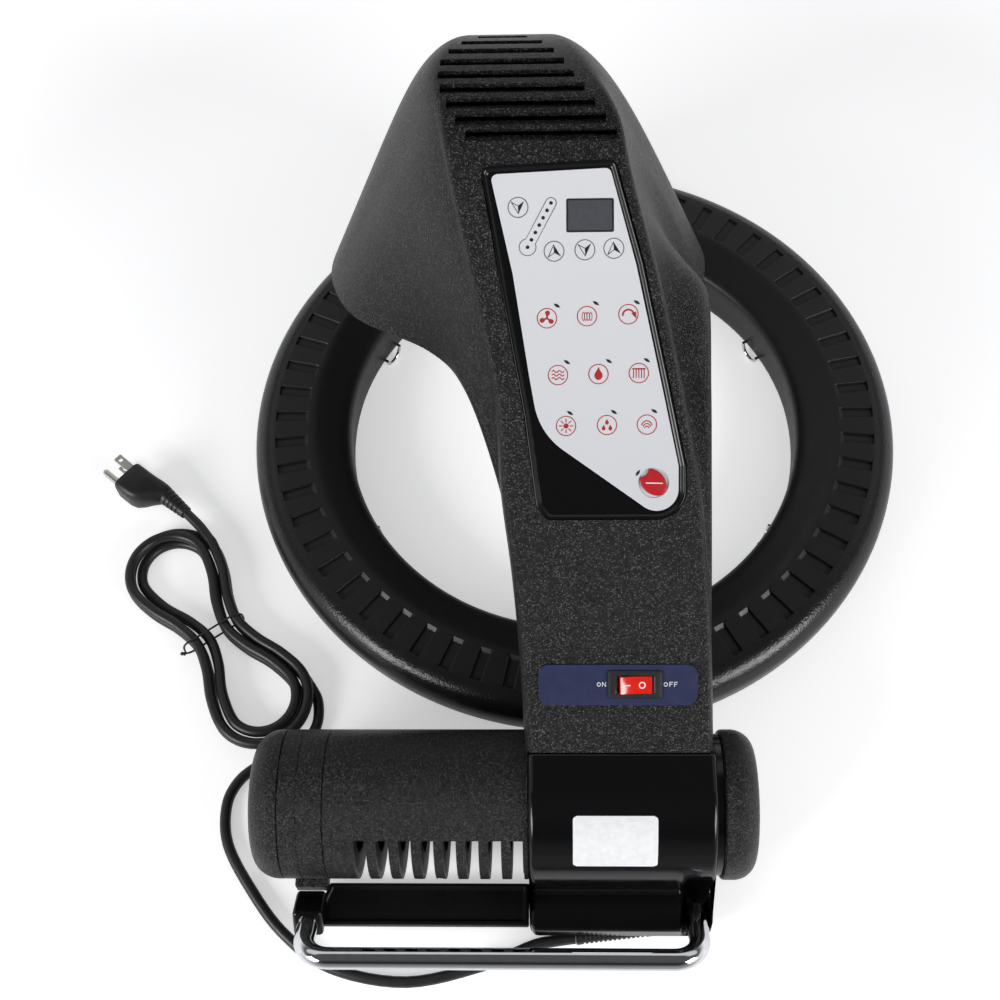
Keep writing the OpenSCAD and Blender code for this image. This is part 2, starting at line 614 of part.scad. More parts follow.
module foot_trim(x) {
  intersection() {
    children();
    translate([x - 30, yoke_y1 - 30, yoke_z + yoke_t + 0.05]) cube([60, 100, 60]);
  }
}
module handle_bracket() { color(gloss) foot_trim(handle_x) at_handle() handle_foot(18); }
module handle_boss() {
  color(gloss) foot_trim(handle_x + handle_span) at_handle() translate([handle_span, 0, 0]) handle_foot(18);
}

// ---- rotor and drive ----
disc_h = mouth_h + 1;
gear_h = disc_h + rotor_t + 0.05;
carrier_h = gear_h + gear_w + 14;
carrier_t = 4;
pitch_r = gear_mod * gear_teeth / 2;
pinion_r = gear_mod * pinion_teeth / 2;
motor_x = -(pitch_r + pinion_r + 0.15);
module gear(teeth, w, bore) {
  r = gear_mod * teeth / 2;
  p = 360 / teeth;
  linear_extrude(w) difference() {
    polygon([for (i = [0:teeth - 1]) each [for (q = [[-0.32, -1.2], [-0.14, 0.75], [0.14, 0.75], [0.32, -1.2]])
      (r + q[1] * gear_mod) * [cos((i + q[0]) * p), sin((i + q[0]) * p)]]]);
    circle(r = bore, $fn = 64);
  }
}
module rotor_disc() {
  color([0.12, 0.12, 0.13]) at_axis() translate([0, 0, disc_h]) tube(shaft_r, rotor_r, rotor_t);
}
module rotor_gear() {
  color([0.85, 0.85, 0.8]) at_axis() translate([0, 0, gear_h]) gear(gear_teeth, gear_w, shaft_r);
}
module rotor_shaft() {
  color(steel) at_axis() translate([0, 0, disc_h]) difference() {
    cylinder(r = shaft_r, h = carrier_h + carrier_t + 24 - disc_h);
    translate([0, 0, -1]) cylinder(r = shaft_r - 4, h = 200);
  }
}
module rotor_bushes() {
  color([0.7, 0.55, 0.25]) at_axis() for (h = [carrier_h - 8, carrier_h + carrier_t + 2])
    translate([0, 0, h]) tube(shaft_r + run_gap, shaft_r + 3.5, 8);
}
module rotor_carrier() {
  color([0.6, 0.6, 0.62]) at_axis() difference() {
    union() {
      translate([bell_x, 0, carrier_h]) cylinder(r = 96, h = carrier_t, $fn = 96);
      translate([0, 0, carrier_h - 8]) cylinder(r = shaft_r + 8, h = carrier_t + 18);
    }
    translate([0, 0, carrier_h - 20]) cylinder(r = shaft_r + 3.5, h = 60);
    translate([motor_x, 0, carrier_h - 20]) cylinder(r = 6, h = 40);
    for (a = [40, 140, 220, 320]) translate([bell_x + 62 * cos(a), 62 * sin(a), carrier_h - 1])
      cylinder(r = 13, h = 8);
  }
}
post_at = [[-118, -34], [-118, 34], [-62, 84], [-20, 86], [-62, -84], [-20, -86]];
module carrier_posts() {
  color(steel) at_axis() for (p = post_at)
    translate([p[0], p[1], mouth_h + 0.6 + floor_t]) cylinder(r = 4, h = carrier_h - mouth_h - 0.6 - floor_t);
}
module slip_ring() {
  color([0.8, 0.6, 0.3]) at_axis() translate([0, 0, carrier_h + carrier_t + 11]) {
    tube(shaft_r, shaft_r + 4, 12);
    for (h = [2, 6, 10]) translate([0, 0, h - 0.8]) tube(shaft_r + 3.9, shaft_r + 5, 1.6);
  }
}
module brush_block() {
  color([0.35, 0.2, 0.12]) at_axis() translate([shaft_r + 5.4, -7, carrier_h + carrier_t]) {
    translate([3.4, 0, 0]) cube([7, 14, 24]);
    for (h = [13, 17, 21]) translate([0, 5, h - 0.7]) cube([4, 4, 1.4]);
  }
}
module drive_motor() {
  color(steel) at_axis() translate([motor_x, 0, carrier_h + carrier_t + 0.05]) {
    cylinder(r = motor_r, h = motor_len);
    translate([0, 0, motor_len]) cylinder(r = 5, h = 4);
  }
}
module drive_pinion() {
  color([0.85, 0.85, 0.8]) at_axis() translate([motor_x, 0, gear_h + play]) {
    rotate([0, 0, 180 / pinion_teeth]) gear(pinion_teeth, gear_w - 0.8, 2.5);
    cylinder(r = 2.5, h = carrier_h + carrier_t - gear_h - play - 0.2);
  }
}
// Neck: drops from the rotor disc and reaches under the bell's rim to the ring
function at_axis_pt(p) = [p[0], axis_y + p[1] * cos(axis_tilt) + p[2] * sin(axis_tilt),
  axis_foot - p[1] * sin(axis_tilt) + p[2] * cos(axis_tilt)];
module ring_neck() {
  color(black) difference() {
    translate([-26, 0, 0]) rotate([90, 0, 90]) linear_extrude(52) polygon([
      for (p = [[0, 46, disc_h - 0.05], [0, rotor_r - 5, disc_h - 0.05], [0, 84, 96]]) [at_axis_pt(p)[1], at_axis_pt(p)[2]],
      [ring_y + slot_r1 - 5, ring_h + 8], [ring_y + slot_r1 - 5, ring_h - 6],
      [ring_y + hole_r + 6, inner_top - 3], [ring_y + hole_r + 0.5, inner_top - 1]]);
    at_ring() rotate_extrude($fn = 128) ring_profile(-0.05);
  }
}

// ---- fan ----
module fan_plate() {
  color([0.15, 0.15, 0.16]) at_axis() translate([bell_x, 0, mouth_h + fan_lift]) {
    tube(fan_r + 3, 62, 3);
    tube(fan_r + 3, fan_r + 5, 16);
    for (a = [0:120:240]) rotate([0, 0, a]) translate([12, -2.5, 0]) cube([fan_r - 8, 5, 2.5]);
    cylinder(r = 14, h = 2.5);
    for (a = [45, 165, 285]) rotate([0, 0, a]) translate([56, 0, carrier_h + carrier_t - mouth_h - fan_lift])
      cylinder(r = 3.2, h = mouth_h + fan_lift - carrier_h - carrier_t + 0.5);
  }
}
module fan_motor() {
  color(steel) at_axis() translate([bell_x, 0, mouth_h + fan_lift + 2.55]) {
    cylinder(r = 11, h = 6);
    cylinder(r = 2, h = 15);
  }
}
module fan_wheel() {
  color([0.2, 0.2, 0.22]) at_axis() translate([bell_x, 0, mouth_h + fan_lift + 9]) {
    tube(2 + run_gap, 11, 6);
    for (i = [0:fan_blades - 1]) rotate([0, 0, i * 360 / fan_blades]) translate([10.5, 0, 3])
      rotate([32, 0, 0]) translate([0, -5, -0.8]) cube([fan_r - 10.5 - 1, 10, 1.6]);
  }
}

// ---- ring ----
inner_top = ring_h - 10.5;
module ring_profile(inset = 0) {
  polygon(concat([[ring_r - 9 - inset, 4 + inset * 0.4], [ring_r - 2.5 - inset, 12],
    [ring_r - inset, 21]],
    [for (a = [12:13:90]) [ring_r - bead - inset + bead * cos(a), ring_h - bead - inset + bead * sin(a) - 0.6 + 0.6 * sin(a)]],
    [[slot_r1 - 2, ring_h - inset], [slot_r1 - 8, ring_h - 1.6 - inset], [hole_r + 7, inner_top + 4.4 - inset],
      [hole_r + 1.6 + inset, inner_top + 1.4 - inset], [hole_r + inset, inner_top - 2.5 - inset], [hole_r + inset, 8],
      [hole_r + 1 + inset, 4 + inset * 0.4]]));
}
module ring_upper_shell() {
  color(black) at_ring() difference() {
    rotate_extrude($fn = 128) difference() {
      ring_profile();
      ring_profile(ring_wall);
      translate([hole_r + ring_wall + 1, -1]) square([ring_r - hole_r - 2 * ring_wall - 10, 10]);
    }
    for (i = [0:slot_count - 1]) rotate([0, 0, i * 360 / slot_count])
      translate([slot_r1, -slot_w / 2, ring_h - slot_depth]) cube([slot_r2 - slot_r1, slot_w, 6]);
  }
}
base_in_r = hole_r + 1;
window1 = hole_r + 13;
window2 = ring_r - 16;
module ring_base() {
  color(gloss) at_ring() difference() {
    rotate_extrude($fn = 128) {
      polygon([[base_in_r, 3.8], [base_in_r + 1.5, 0.8], [base_in_r + 4, 0], [window1, 0], [window1, 3.8]]);
      polygon([[window2, 3.8], [window2, 0.6], [ring_r - 12, 1.2], [ring_r - 9, 3.8]]);
    }
  }
  color(gloss) at_ring() for (i = [0:5]) rotate([0, 0, i * 60])
    translate([window1 - 1, -4, 1.4]) cube([window2 - window1 + 2, 8, 2.4]);
}
module reflector() {
  color([0.85, 0.85, 0.87]) at_ring() rotate_extrude($fn = 96) difference() {
    polygon([[heater_r - 17, 8], [heater_r - 12, 22], [heater_r - 6, 29], [heater_r + 4, 29], [heater_r + 11, 22],
      [heater_r + 15, 8], [heater_r + 14, 8], [heater_r + 10, 21.4], [heater_r + 3.6, 28], [heater_r - 5.6, 28],
      [heater_r - 11, 21.4], [heater_r - 16, 8]]);
  }
}
heater_arc = 120 - 2 * asin((7 + seat) / heater_r);
module heater_tubes() {
  color([0.9, 0.7, 0.6]) at_ring() for (i = [0:2]) rotate([0, 0, i * 120 + (120 - heater_arc) / 2])
    rotate_extrude(angle = heater_arc, $fn = 96) translate([heater_r, 15]) circle(r = heater_d / 2, $fn = 24);
}
module heater_holders() {
  color([0.92, 0.9, 0.84]) at_ring() for (i = [0:2]) rotate([0, 0, i * 120])
    translate([heater_r - 7, -7, 4]) {
      cube([14, 14, 16.5]);
      translate([3, 3, 0]) cube([7, 8, 23.7]);
    }
}
module wire_guards() {
  color(steel) at_ring() for (i = [0:hoop_count - 1]) rotate([0, 0, i * 360 / hoop_count + 30])
    translate([hole_r - 0.4, 0, 9]) rotate([0, -90, 0]) {
      for (s = [-8, 8]) translate([0, s, 0]) cylinder(r = hoop_wire / 2, h = 3);
      translate([0, 0, 3]) rotate([0, 90, 0]) rotate([0, 90, 0]) rotate([0, 0, 0])
        rotate([0, 0, -90]) rotate_extrude(angle = 180, $fn = 32) translate([8, 0]) circle(r = hoop_wire / 2, $fn = 16);
    }
}
module housing_screws() {
  color(steel) at_axis() for (p = post_at)
    translate([p[0], p[1], mouth_h - 0.65]) cylinder(r = 3.4, h = 1.25);
}

// ---- cord ----
function frame_at(p, i) = let (n = len(p), a = p[max(0, i - 1)], b = p[min(n - 1, i + 1)]) unit(b - a);
function side_at(t) = unit(cross(t, abs(t[2]) > 0.9 ? [1, 0, 0] : [0, 0, 1]));
module sweep(p, r, n = 8) {
  k = len(p);
  pts = [for (i = [0:k - 1]) let (t = frame_at(p, i), s = side_at(t), u = cross(s, t))
    each [for (j = [0:n - 1]) p[i] + r * (cos(j * 360 / n) * s + sin(j * 360 / n) * u)]];
  polyhedron(points = pts, faces = concat(
    [for (i = [0:k - 2], j = [0:n - 1]) let (a = i * n + j, b = i * n + (j + 1) % n)
      each [[a, a + n, b], [b, a + n, b + n]]],
    [for (j = [1:n - 2]) [0, j, j + 1]],
    [for (j = [1:n - 2]) let (q = (k - 1) * n) [q, q + j + 1, q + j]]));
}
function catmull(p, m) = let (n = len(p)) concat([for (i = [0:n - 2], k = [0:m - 1])
  spline(p[max(0, i - 1)], p[i], p[i + 1], p[min(n - 1, i + 2)], k / m)], [p[n - 1]]);
// Free stretch: from the relief, under the handle, round the left cap, to the hank
relief_p = [notch_x2 - 1, barrel_y - 64.6, 6.3];
relief_e = [-1.5, barrel_y - 71.2, 4.5];
LEAD = [relief_e, [-14, -272.4, 4], [-27, -275, 3.6], [-57, -287, 3.6], [-103, -297, 3.6], [-149, -289, 3.6],
  [-180, -268, 3.6], [-203, -240, 3.6], [-219, -213, 3.6], [-222, -189, 3.6], [-216, -173, 3.6],
  [-204, -162.5, 3.7], [-189, -157, 3.9], [-176, -148.5, 4.1], [-168, -134.5, 4.3], [-168.3, -119, 4.4]];
// Hank: runs up and down beside its axis, drawn in at the waist, in two layers
hank_at = [-206, -120, 4.4];
hank_turn = 36;
hank_run = 116;
hank_r = 32.9;         // radius of the outer fold
hank_waist = 17.6;     // half width at the waist, to the outer run's middle
fold_step = 7.9;
waist_step = 8.8;
layer_step = 7.5;
run_n = 6;
fold_n = 6;
// Steps in from the outermost run after q half loops
function hank_in(q) = q < 3 ? q / 2 : (6 - q) / 2;
function hank_up(q, t) = q < 3 ? 0 : q > 3 ? layer_step : layer_step * t * t * (3 - 2 * t);
function run_pt(q, t) = let (f = hank_in(q), r = hank_r - fold_step * f, w = hank_waist - waist_step * f,
    c = pow(sin(180 * t), 2), y = q % 2 == 0 ? t : 1 - t)
  [(q % 2 == 0 ? 1 : -1) * (r - (r - w) * c), y * hank_run, hank_up(q, t)];
function fold_pt(q, t) = let (f = mix(hank_in(q), hank_in(q + 1), t), r = hank_r - fold_step * f, up = q % 2 == 0)
  [r * cos(180 * t) * (up ? 1 : -1), up ? hank_run + r * sin(180 * t) : -r * sin(180 * t), hank_up(q, 1)];
HANK = concat([[hank_r, -cord_d, 0]],
  [for (q = [0:5]) each concat([for (i = [0:run_n - 1]) run_pt(q, i / run_n)],
    [for (i = [0:fold_n - 1]) fold_pt(q, i / fold_n)])],
  [for (i = [0:run_n]) run_pt(6, i / run_n)], [[hank_r, hank_run + cord_d, layer_step]]);
function hank_pt(p) = hank_at + [p[0] * cos(hank_turn) - p[1] * sin(hank_turn),
  p[0] * sin(hank_turn) + p[1] * cos(hank_turn), p[2]];
HANK_PTS = [for (p = HANK) hank_pt(p)];
// Least gap of the hank to itself, on points well apart along it
fine = catmull(HANK, 4);
echo(hank_gap = min([for (i = [0:2:len(fine) - 1]) for (j = [i + 24:2:len(fine) - 1])
  norm(fine[i] - fine[j])]) - cord_d);
hank_end = hank_pt([hank_r, hank_run + cord_d, layer_step]);
plug_p = [-268.5, 17.5, 11.9];
plug_a = 139.4;
TAIL = [hank_end, [-257.5, 6.4, 11.8], [-263, 12.2, 11.8], plug_p];
module at_plug(s = 0) { translate(plug_p) rotate([0, 0, plug_a]) translate([s, 0, 0]) children(); }
module strain_relief() {
  d = relief_e - relief_p;
  color(gloss) translate(relief_p) rotate([0, acos(d[2] / norm(d)), atan2(d[1], d[0])])
    cylinder(r1 = 5.6, r2 = 4.2, h = norm(d) - 0.1, $fn = 32);
}
module power_cord() {
  color(black) sweep(concat(catmull(LEAD, 3), [HANK_PTS[0] + [2, -2.8, 0], HANK_PTS[0]]), cord_d / 2, 8);
}
module cord_hank() { color(black) sweep(HANK_PTS, cord_d / 2, 6); }
module cord_tail() { color(black) sweep(catmull(TAIL, 3), cord_d / 2, 8); }
module cord_tie() {
  w = hank_waist + cord_d / 2 + 0.8;
  h = layer_step + cord_d + 1.2;
  color(gloss) translate([hank_at[0], hank_at[1], 0.05]) rotate([0, 0, hank_turn])
    translate([0, hank_run / 2 + 1.5, 0]) rotate([90, 0, 0]) linear_extrude(3) difference() {
      translate([-w - 0.8, 0]) square([2 * w + 1.6, h + 0.8]);
      translate([-w, 0.7]) square([2 * w, h - 0.7]);
    }
}
module plug_relief() {
  color(black) at_plug(0.05) rotate([0, 90, 0]) {
    cylinder(r1 = 4.6, r2 = 6.4, h = 20, $fn = 32);
    for (i = [0:3]) translate([0, 0, 2 + i * 4.4]) cylinder(r = 5.6 + i * 0.5, h = 2.4, $fn = 32);
  }
}
module plug_body() {
  color(black) at_plug(20.1) translate([0, 0, 0]) hull() {
    rotate([0, 90, 0]) cylinder(r = 6.6, h = 1, $fn = 32);
    translate([14, -4, -11]) cube([16, 24, 22.5]);
    translate([8, -2.5, -9.5]) cube([23, 20, 19.5]);
  }
}
module plug_blades() {
  color(steel) at_plug(51.2) {
    for (z = [-6.35, 6.35]) difference() {
      translate([0, -0.5, z - 0.75]) cube([16, 6.3, 1.5]);
      translate([12, 2.6, z - 2]) cylinder(r = 1.6, h = 4, $fn = 24);
    }
    translate([0, 14.6, 0]) rotate([0, 90, 0]) cylinder(r = 2.4, h = 19, $fn = 32);
  }
}

arm_shell();
arm_base();
bell_floor();
panel_bezel();
control_overlay();
timer_display();
start_key();
control_board();
switch_plate();
switch_frame();
rocker();
elbow_cover();
elbow_rear();
blank_label();
yoke_plate();
left_band();
left_end_cap();
right_collar();
right_end_cap();
hinge_pins();
hinge_bushes();
friction_discs();
balance_spring();
barrel_front_shell();
barrel_rear_shell();
barrel_hubs();
stand_socket();
clamp_screw();
handle_bracket();
handle_boss();
handle_tube();
rotor_carrier();
carrier_posts();
rotor_bushes();
rotor_shaft();
rotor_disc();
rotor_gear();
ring_neck();
slip_ring();
brush_block();
drive_motor();
drive_pinion();
fan_plate();
fan_motor();
fan_wheel();
ring_upper_shell();
ring_base();
reflector();
heater_tubes();
heater_holders();
wire_guards();
housing_screws();
strain_relief();
power_cord();
cord_hank();
cord_tail();
cord_tie();
plug_relief();
plug_body();
plug_blades();
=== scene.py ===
"""Looks of the head unit of an orbiting ring hair dryer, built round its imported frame.

Shapes are worked out in millimetres, in the frame of the part, and turned into metres when an object is made.
A part is a pair of points and faces.
"""
import math
import bmesh
import bpy
import numpy as np
from mathutils import Matrix, Vector


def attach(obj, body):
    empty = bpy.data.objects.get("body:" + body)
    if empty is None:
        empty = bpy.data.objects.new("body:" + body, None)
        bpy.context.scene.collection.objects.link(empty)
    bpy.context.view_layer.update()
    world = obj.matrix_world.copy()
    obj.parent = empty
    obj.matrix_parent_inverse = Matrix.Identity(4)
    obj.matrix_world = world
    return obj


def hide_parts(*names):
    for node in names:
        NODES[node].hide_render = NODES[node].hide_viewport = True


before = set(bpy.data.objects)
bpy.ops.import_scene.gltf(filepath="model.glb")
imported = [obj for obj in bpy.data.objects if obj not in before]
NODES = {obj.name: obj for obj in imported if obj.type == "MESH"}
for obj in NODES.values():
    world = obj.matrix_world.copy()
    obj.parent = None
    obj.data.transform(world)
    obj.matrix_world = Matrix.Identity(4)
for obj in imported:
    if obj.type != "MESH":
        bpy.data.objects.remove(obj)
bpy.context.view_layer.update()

MM = 0.001
scene = bpy.context.scene

# ---- driving dimensions, in mm and degrees, as in the part's source ----
RING_Y, RING_R, HOLE_R, RING_H, BEAD_R, RING_WALL = 76.0, 221.0, 154.0, 45.0, 17.0, 3.0
SLOTS, SLOT_W, SLOT_R1, SLOT_R2, SLOT_DEPTH = 60, 7.4, 183.0, 205.0, 2.0
AXIS_TILT, AXIS_Y, AXIS_FOOT, MOUTH_H = 24.0, 126.1, 2.7, 103.0
BELL_R, BELL_X, WALL = 128.0, -37.0, 3.0
SLOPE, ARM_Y, ARM_Z = 32.8, -184.0, 93.0
FACE_LEN = 280 / math.cos(math.radians(SLOPE))
BARREL_Y, BARREL_R = -199.5, 44.5
ELBOW_X1, ELBOW_X2, ELBOW_R, BAND_X1 = -29.0, 80.5, 49.0, -174.6
PANEL_V, RECESS, OVERLAY_T = 136.0, 2.0, 0.8
ROCKER_X, ROCKER_V, ROCKER_TIP, ROCKER_HOLE = 33.1, 40.4, 7.0, (13.5, 6.7)
KEY_X, KEY_V, KEY_R = 44.0, 157.0, 8.6
DISPLAY_X, DISPLAY_V, DISPLAY_W, DISPLAY_H = 8.0, PANEL_V + 173, 13.0, 9.0
VENTS, VENT_W = 9, 6.8
HANDLE_R, HANDLE_X, HANDLE_SPAN, HANDLE_BEND = 6.35, -162.0, 233.0, 16.0
CORD_D = 7.0


# ---- geometry helpers ----
def arr(*p):
    return np.array(p, dtype=float)


def unit(v):
    return v / np.linalg.norm(v)


def mix(a, b, t):
    return a + (b - a) * t


def clamp(t):
    return max(0.0, min(1.0, t))


def ease(t):
    """0 to 1 with a soft start and end."""
    return t * t * (3 - 2 * t)


def polar(r, a):
    return r * arr(math.cos(a), math.sin(a))


def around(n):
    """n angles round a full turn."""
    return np.linspace(0, 2 * math.pi, n, endpoint=False)


def spun(p, deg):
    """Points turned in their first two coordinates."""
    p = np.asarray(p, dtype=float)
    c, s = math.cos(math.radians(deg)), math.sin(math.radians(deg))
    x, y = p[..., :1], p[..., 1:2]
    return np.concatenate([x * c - y * s, x * s + y * c, p[..., 2:]], -1)


def turned(p, deg):
    """Points turned about X."""
    return np.roll(spun(np.roll(p, -1, -1), deg), 1, -1)


def as_is(p):
    return p


def at_face(p):
    """Face frame: x across the arm, y up its slope, z out of it."""
    return turned(p, SLOPE) + arr(0, ARM_Y, ARM_Z)


def at_barrel(p):
    """Barrel frame: x toward the bell, y up, z along the hinge."""
    return np.roll(p, 1, -1) + arr(0, BARREL_Y, BARREL_R)


def lifted(loop, z, place=at_face):
    """A 2D loop at a height in a frame."""
    return [place(arr(x, y, z)) for x, y in loop]


def box(x, y, w, h):
    """Corners of a rectangle by its middle and half sizes, counter-clockwise."""
    return [(x - w, y - h), (x + w, y - h), (x + w, y + h), (x - w, y + h)]


def oval(x, y, rx, ry, n):
    return [arr(x + rx * math.cos(a), y + ry * math.sin(a)) for a in around(n)]


def arc(x, y, r, a0, a1, n):
    return [arr(x, y) + polar(r, a) for a in np.radians(np.linspace(a0, a1, n))]


def cubic(a, b, c, d, t):
    return (1 - t) ** 3 * a + 3 * t * (1 - t) ** 2 * b + 3 * t * t * (1 - t) * c + t ** 3 * d


def bezier(a, b, c, d, n):
    """n + 1 points of a cubic."""
    a, b, c, d = (np.asarray(q, dtype=float) for q in (a, b, c, d))
    return cubic(a, b, c, d, np.linspace(0, 1, n + 1)[:, None])


def catmull(points, steps):
    """A Catmull-Rom curve through the points."""
    p = [np.asarray(q, dtype=float) for q in points]
    out = []
    for i in range(len(p) - 1):
        a, b, c, d = p[max(0, i - 1)], p[i], p[i + 1], p[min(len(p) - 1, i + 2)]
        for k in range(steps):
            t = k / steps
            out.append(0.5 * (2 * b + (c - a) * t + (2 * a - 5 * b + 4 * c - d) * t * t
                              + (3 * b - a - 3 * c + d) * t ** 3))
    return out + [p[-1]]


def grid_faces(n, m, wrap_n=False, wrap_m=False, start=0):
    """Quads of an n by m grid of points."""
    faces = []
    for i in range(n if wrap_n else n - 1):
        a, b = i * m, (i + 1) % n * m
        for j in range(m if wrap_m else m - 1):
            k = (j + 1) % m
            faces.append((start + a + j, start + a + k, start + b + k, start + b + j))
    return faces


def new_object(name, points, faces):
    """A mesh object from points in mm, welded, its faces turned outward."""
    mesh = bpy.data.meshes.new(name)
    mesh.from_pydata((np.asarray(points, dtype=float).reshape(-1, 3) * MM).tolist(), [], faces)
    work = bmesh.new()
    work.from_mesh(mesh)
    bmesh.ops.remove_doubles(work, verts=work.verts, dist=1e-6)
    bmesh.ops.recalc_face_normals(work, faces=work.faces)
    work.to_mesh(mesh)
    work.free()
    obj = bpy.data.objects.new(name, mesh)
    scene.collection.objects.link(obj)
    return obj


def shade(mesh, angle):
    """Smooth but for edges sharper than the angle."""
    mesh.polygons.foreach_set("use_smooth", [True] * len(mesh.polygons))
    mesh.set_sharp_from_angle(angle=math.radians(angle))
    mesh.update()


def dress(obj, body, material, replaced=()):
    obj.data.materials.clear()
    obj.data.materials.append(material)
    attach(obj, body)
    if replaced:
        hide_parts(*replaced)
    return obj


def add_mesh(name, part, body, material, replaced=(), angle=32.0):
    """A piece from the (points, faces) of a part, in mm."""
    obj = new_object(name, *part)
    shade(obj.data, angle)
    return dress(obj, body, material, replaced)


def bake(obj):
    """Applies the modifiers of a piece."""
    bpy.context.view_layer.update()
    mesh = bpy.data.meshes.new_from_object(obj.evaluated_get(bpy.context.evaluated_depsgraph_get()))
    old = obj.data
    obj.modifiers.clear()
    obj.data = mesh
    bpy.data.meshes.remove(old)


def cut_away(obj, angle, *cutters):
    """Subtracts closed parts, in mm, from a piece."""
    for part in cutters:
        tool = new_object(obj.name + "_cut", *part)
        mod = obj.modifiers.new("cut", "BOOLEAN")
        mod.operation = "DIFFERENCE"
        mod.solver = "EXACT"
        mod.object = tool
        bake(obj)
        bpy.data.objects.remove(tool)
    obj.data.name = obj.name
    shade(obj.data, angle)


def bevelled(name, part, material, replaced, bevel, seg=3):
    """A piece of the housing whose sharp edges are rounded."""
    obj = add_mesh(name, part, "housing", material, replaced)
    mod = obj.modifiers.new("bevel", "BEVEL")
    mod.width = bevel * MM
    mod.segments = seg
    mod.limit_method = "ANGLE"
    mod.angle_limit = math.radians(35)
    bake(obj)
    shade(obj.data, 50)


def joined(parts):
    pts, faces = [], []
    for p, f in parts:
        base = len(pts)
        pts += list(p)
        faces += [tuple(base + k for k in face) for face in f]
    return pts, faces


def loops_solid(loops):
    """A closed part through loops of equal count, capped at both ends."""
    n, m = len(loops), len(loops[0])
    caps = [tuple(range(m)), tuple(range((n - 1) * m, n * m))[::-1]]
    return [p for loop in loops for p in loop], grid_faces(n, m, wrap_m=True) + caps


def loops_tube(loops):
    """A closed part through loops of equal count, the last joined to the first."""
    return [p for loop in loops for p in loop], grid_faces(len(loops), len(loops[0]), True, True)


def prism(outline, z0, z1, place=at_face):
    """A closed part over a 2D outline."""
    return loops_solid([lifted(outline, z, place) for z in (z0, z1)])


def revolve(profile, n, place, a0=0.0, a1=360.0):
    """Closed profile of (r, z) turned about z; a part turn gets flat ends."""
    full = abs(a1 - a0) >= 360
    count = n if full else n + 1
    angles = [math.radians(a0 + (a1 - a0) * k / n) for k in range(count)]
    pts = [place(arr(r * math.cos(a), r * math.sin(a), z)) for a in angles for r, z in profile]
    m = len(profile)
    faces = grid_faces(count, m, wrap_n=full, wrap_m=True)
    if not full:
        faces += [tuple(range(m)), tuple(range((count - 1) * m, count * m))[::-1]]
    return pts, faces


# What a corner may take of its shorter side, and the steps of a corner with a radius of its own
SHARE, OWN_SHARE, OWN_STEPS = 0.45, 0.68, 24


def filleted(points, radius, seg=6):
    """A 2D polygon, counter-clockwise, with arcs at its corners; a point may end with a radius of its own."""
    out, n = [], len(points)
    for i, (_, _, *own) in enumerate(points):
        a, b, c = (arr(*points[(i + k) % n][:2]) for k in (-1, 0, 1))
        u, v = unit(a - b), unit(c - b)
        half = math.acos(max(-1, min(1, float(u @ v)))) / 2
        if half > math.radians(86):
            out.append(b)
            continue
        wanted, share, steps = (own[0], OWN_SHARE, OWN_STEPS) if own else (radius, SHARE, seg)
        reach = min(wanted / math.tan(half), share * min(np.linalg.norm(a - b), np.linalg.norm(c - b)))
        r = reach * math.tan(half)
        centre = b + unit(u + v) * r / math.sin(half)
        p, q = b + u * reach - centre, b + v * reach - centre
        a0 = math.atan2(p[1], p[0])
        a1 = math.atan2(q[1], q[0])
        a1 += 2 * math.pi * round((a0 - a1) / (2 * math.pi))
        out += [centre + polar(r, mix(a0, a1, k / steps)) for k in range(steps + 1)]
    return out


def inset(loop, d):
    """A dense 2D loop, counter-clockwise, moved inward by d."""
    p = np.array(loop)
    t = np.roll(p, -1, 0) - np.roll(p, 1, 0)
    t /= np.linalg.norm(t, axis=1)[:, None]
    return p + d * np.stack([-t[:, 1], t[:, 0]], -1)


def mitred(corners, d):
    """A 2D polygon with sharp corners, counter-clockwise, each side moved inward by d."""
    out, n = [], len(corners)
    for i in range(n):
        a, b, c = (arr(*corners[(i + k) % n]) for k in (-1, 0, 1))
        u, v = unit(b - a), unit(c - b)
        out.append(tuple(b + (v - u) * d / (u[0] * v[1] - u[1] * v[0])))
    return out


# ---- materials ----
class Nodes:
    """Helpers that fill a node tree; a value may be a number or a socket."""

    def __init__(self, tree):
        self.tree = tree

    def add(self, kind, links=(), **values):
        node = self.tree.nodes.new(kind)
        for key, value in values.items():
            if hasattr(node, key):
                setattr(node, key, value)
            else:
                node.inputs[key.replace("_", " ")].default_value = value
        for key, socket in dict(links).items():
            self.tree.links.new(socket, node.inputs[key])
        return node

    def feed(self, value, socket):
        if isinstance(value, (int, float)):
            socket.default_value = value
        else:
            self.tree.links.new(value, socket)

    def ranged(self, socket, a, b, to_a, to_b, **values):
        return self.add("ShaderNodeMapRange", {"Value": socket}, From_Min=a, From_Max=b, To_Min=to_a,
                        To_Max=to_b, **values).outputs[0]

    def math(self, op, a, b=0.0):
        node = self.add("ShaderNodeMath", operation=op)
        self.feed(a, node.inputs[0])
        self.feed(b, node.inputs[1])
        return node.outputs[0]

    def apart(self, socket):
        """The x, y and z of a vector."""
        return tuple(self.add("ShaderNodeSeparateXYZ", {0: socket}).outputs)

    def rays(self):
        return self.add("ShaderNodeLightPath").outputs


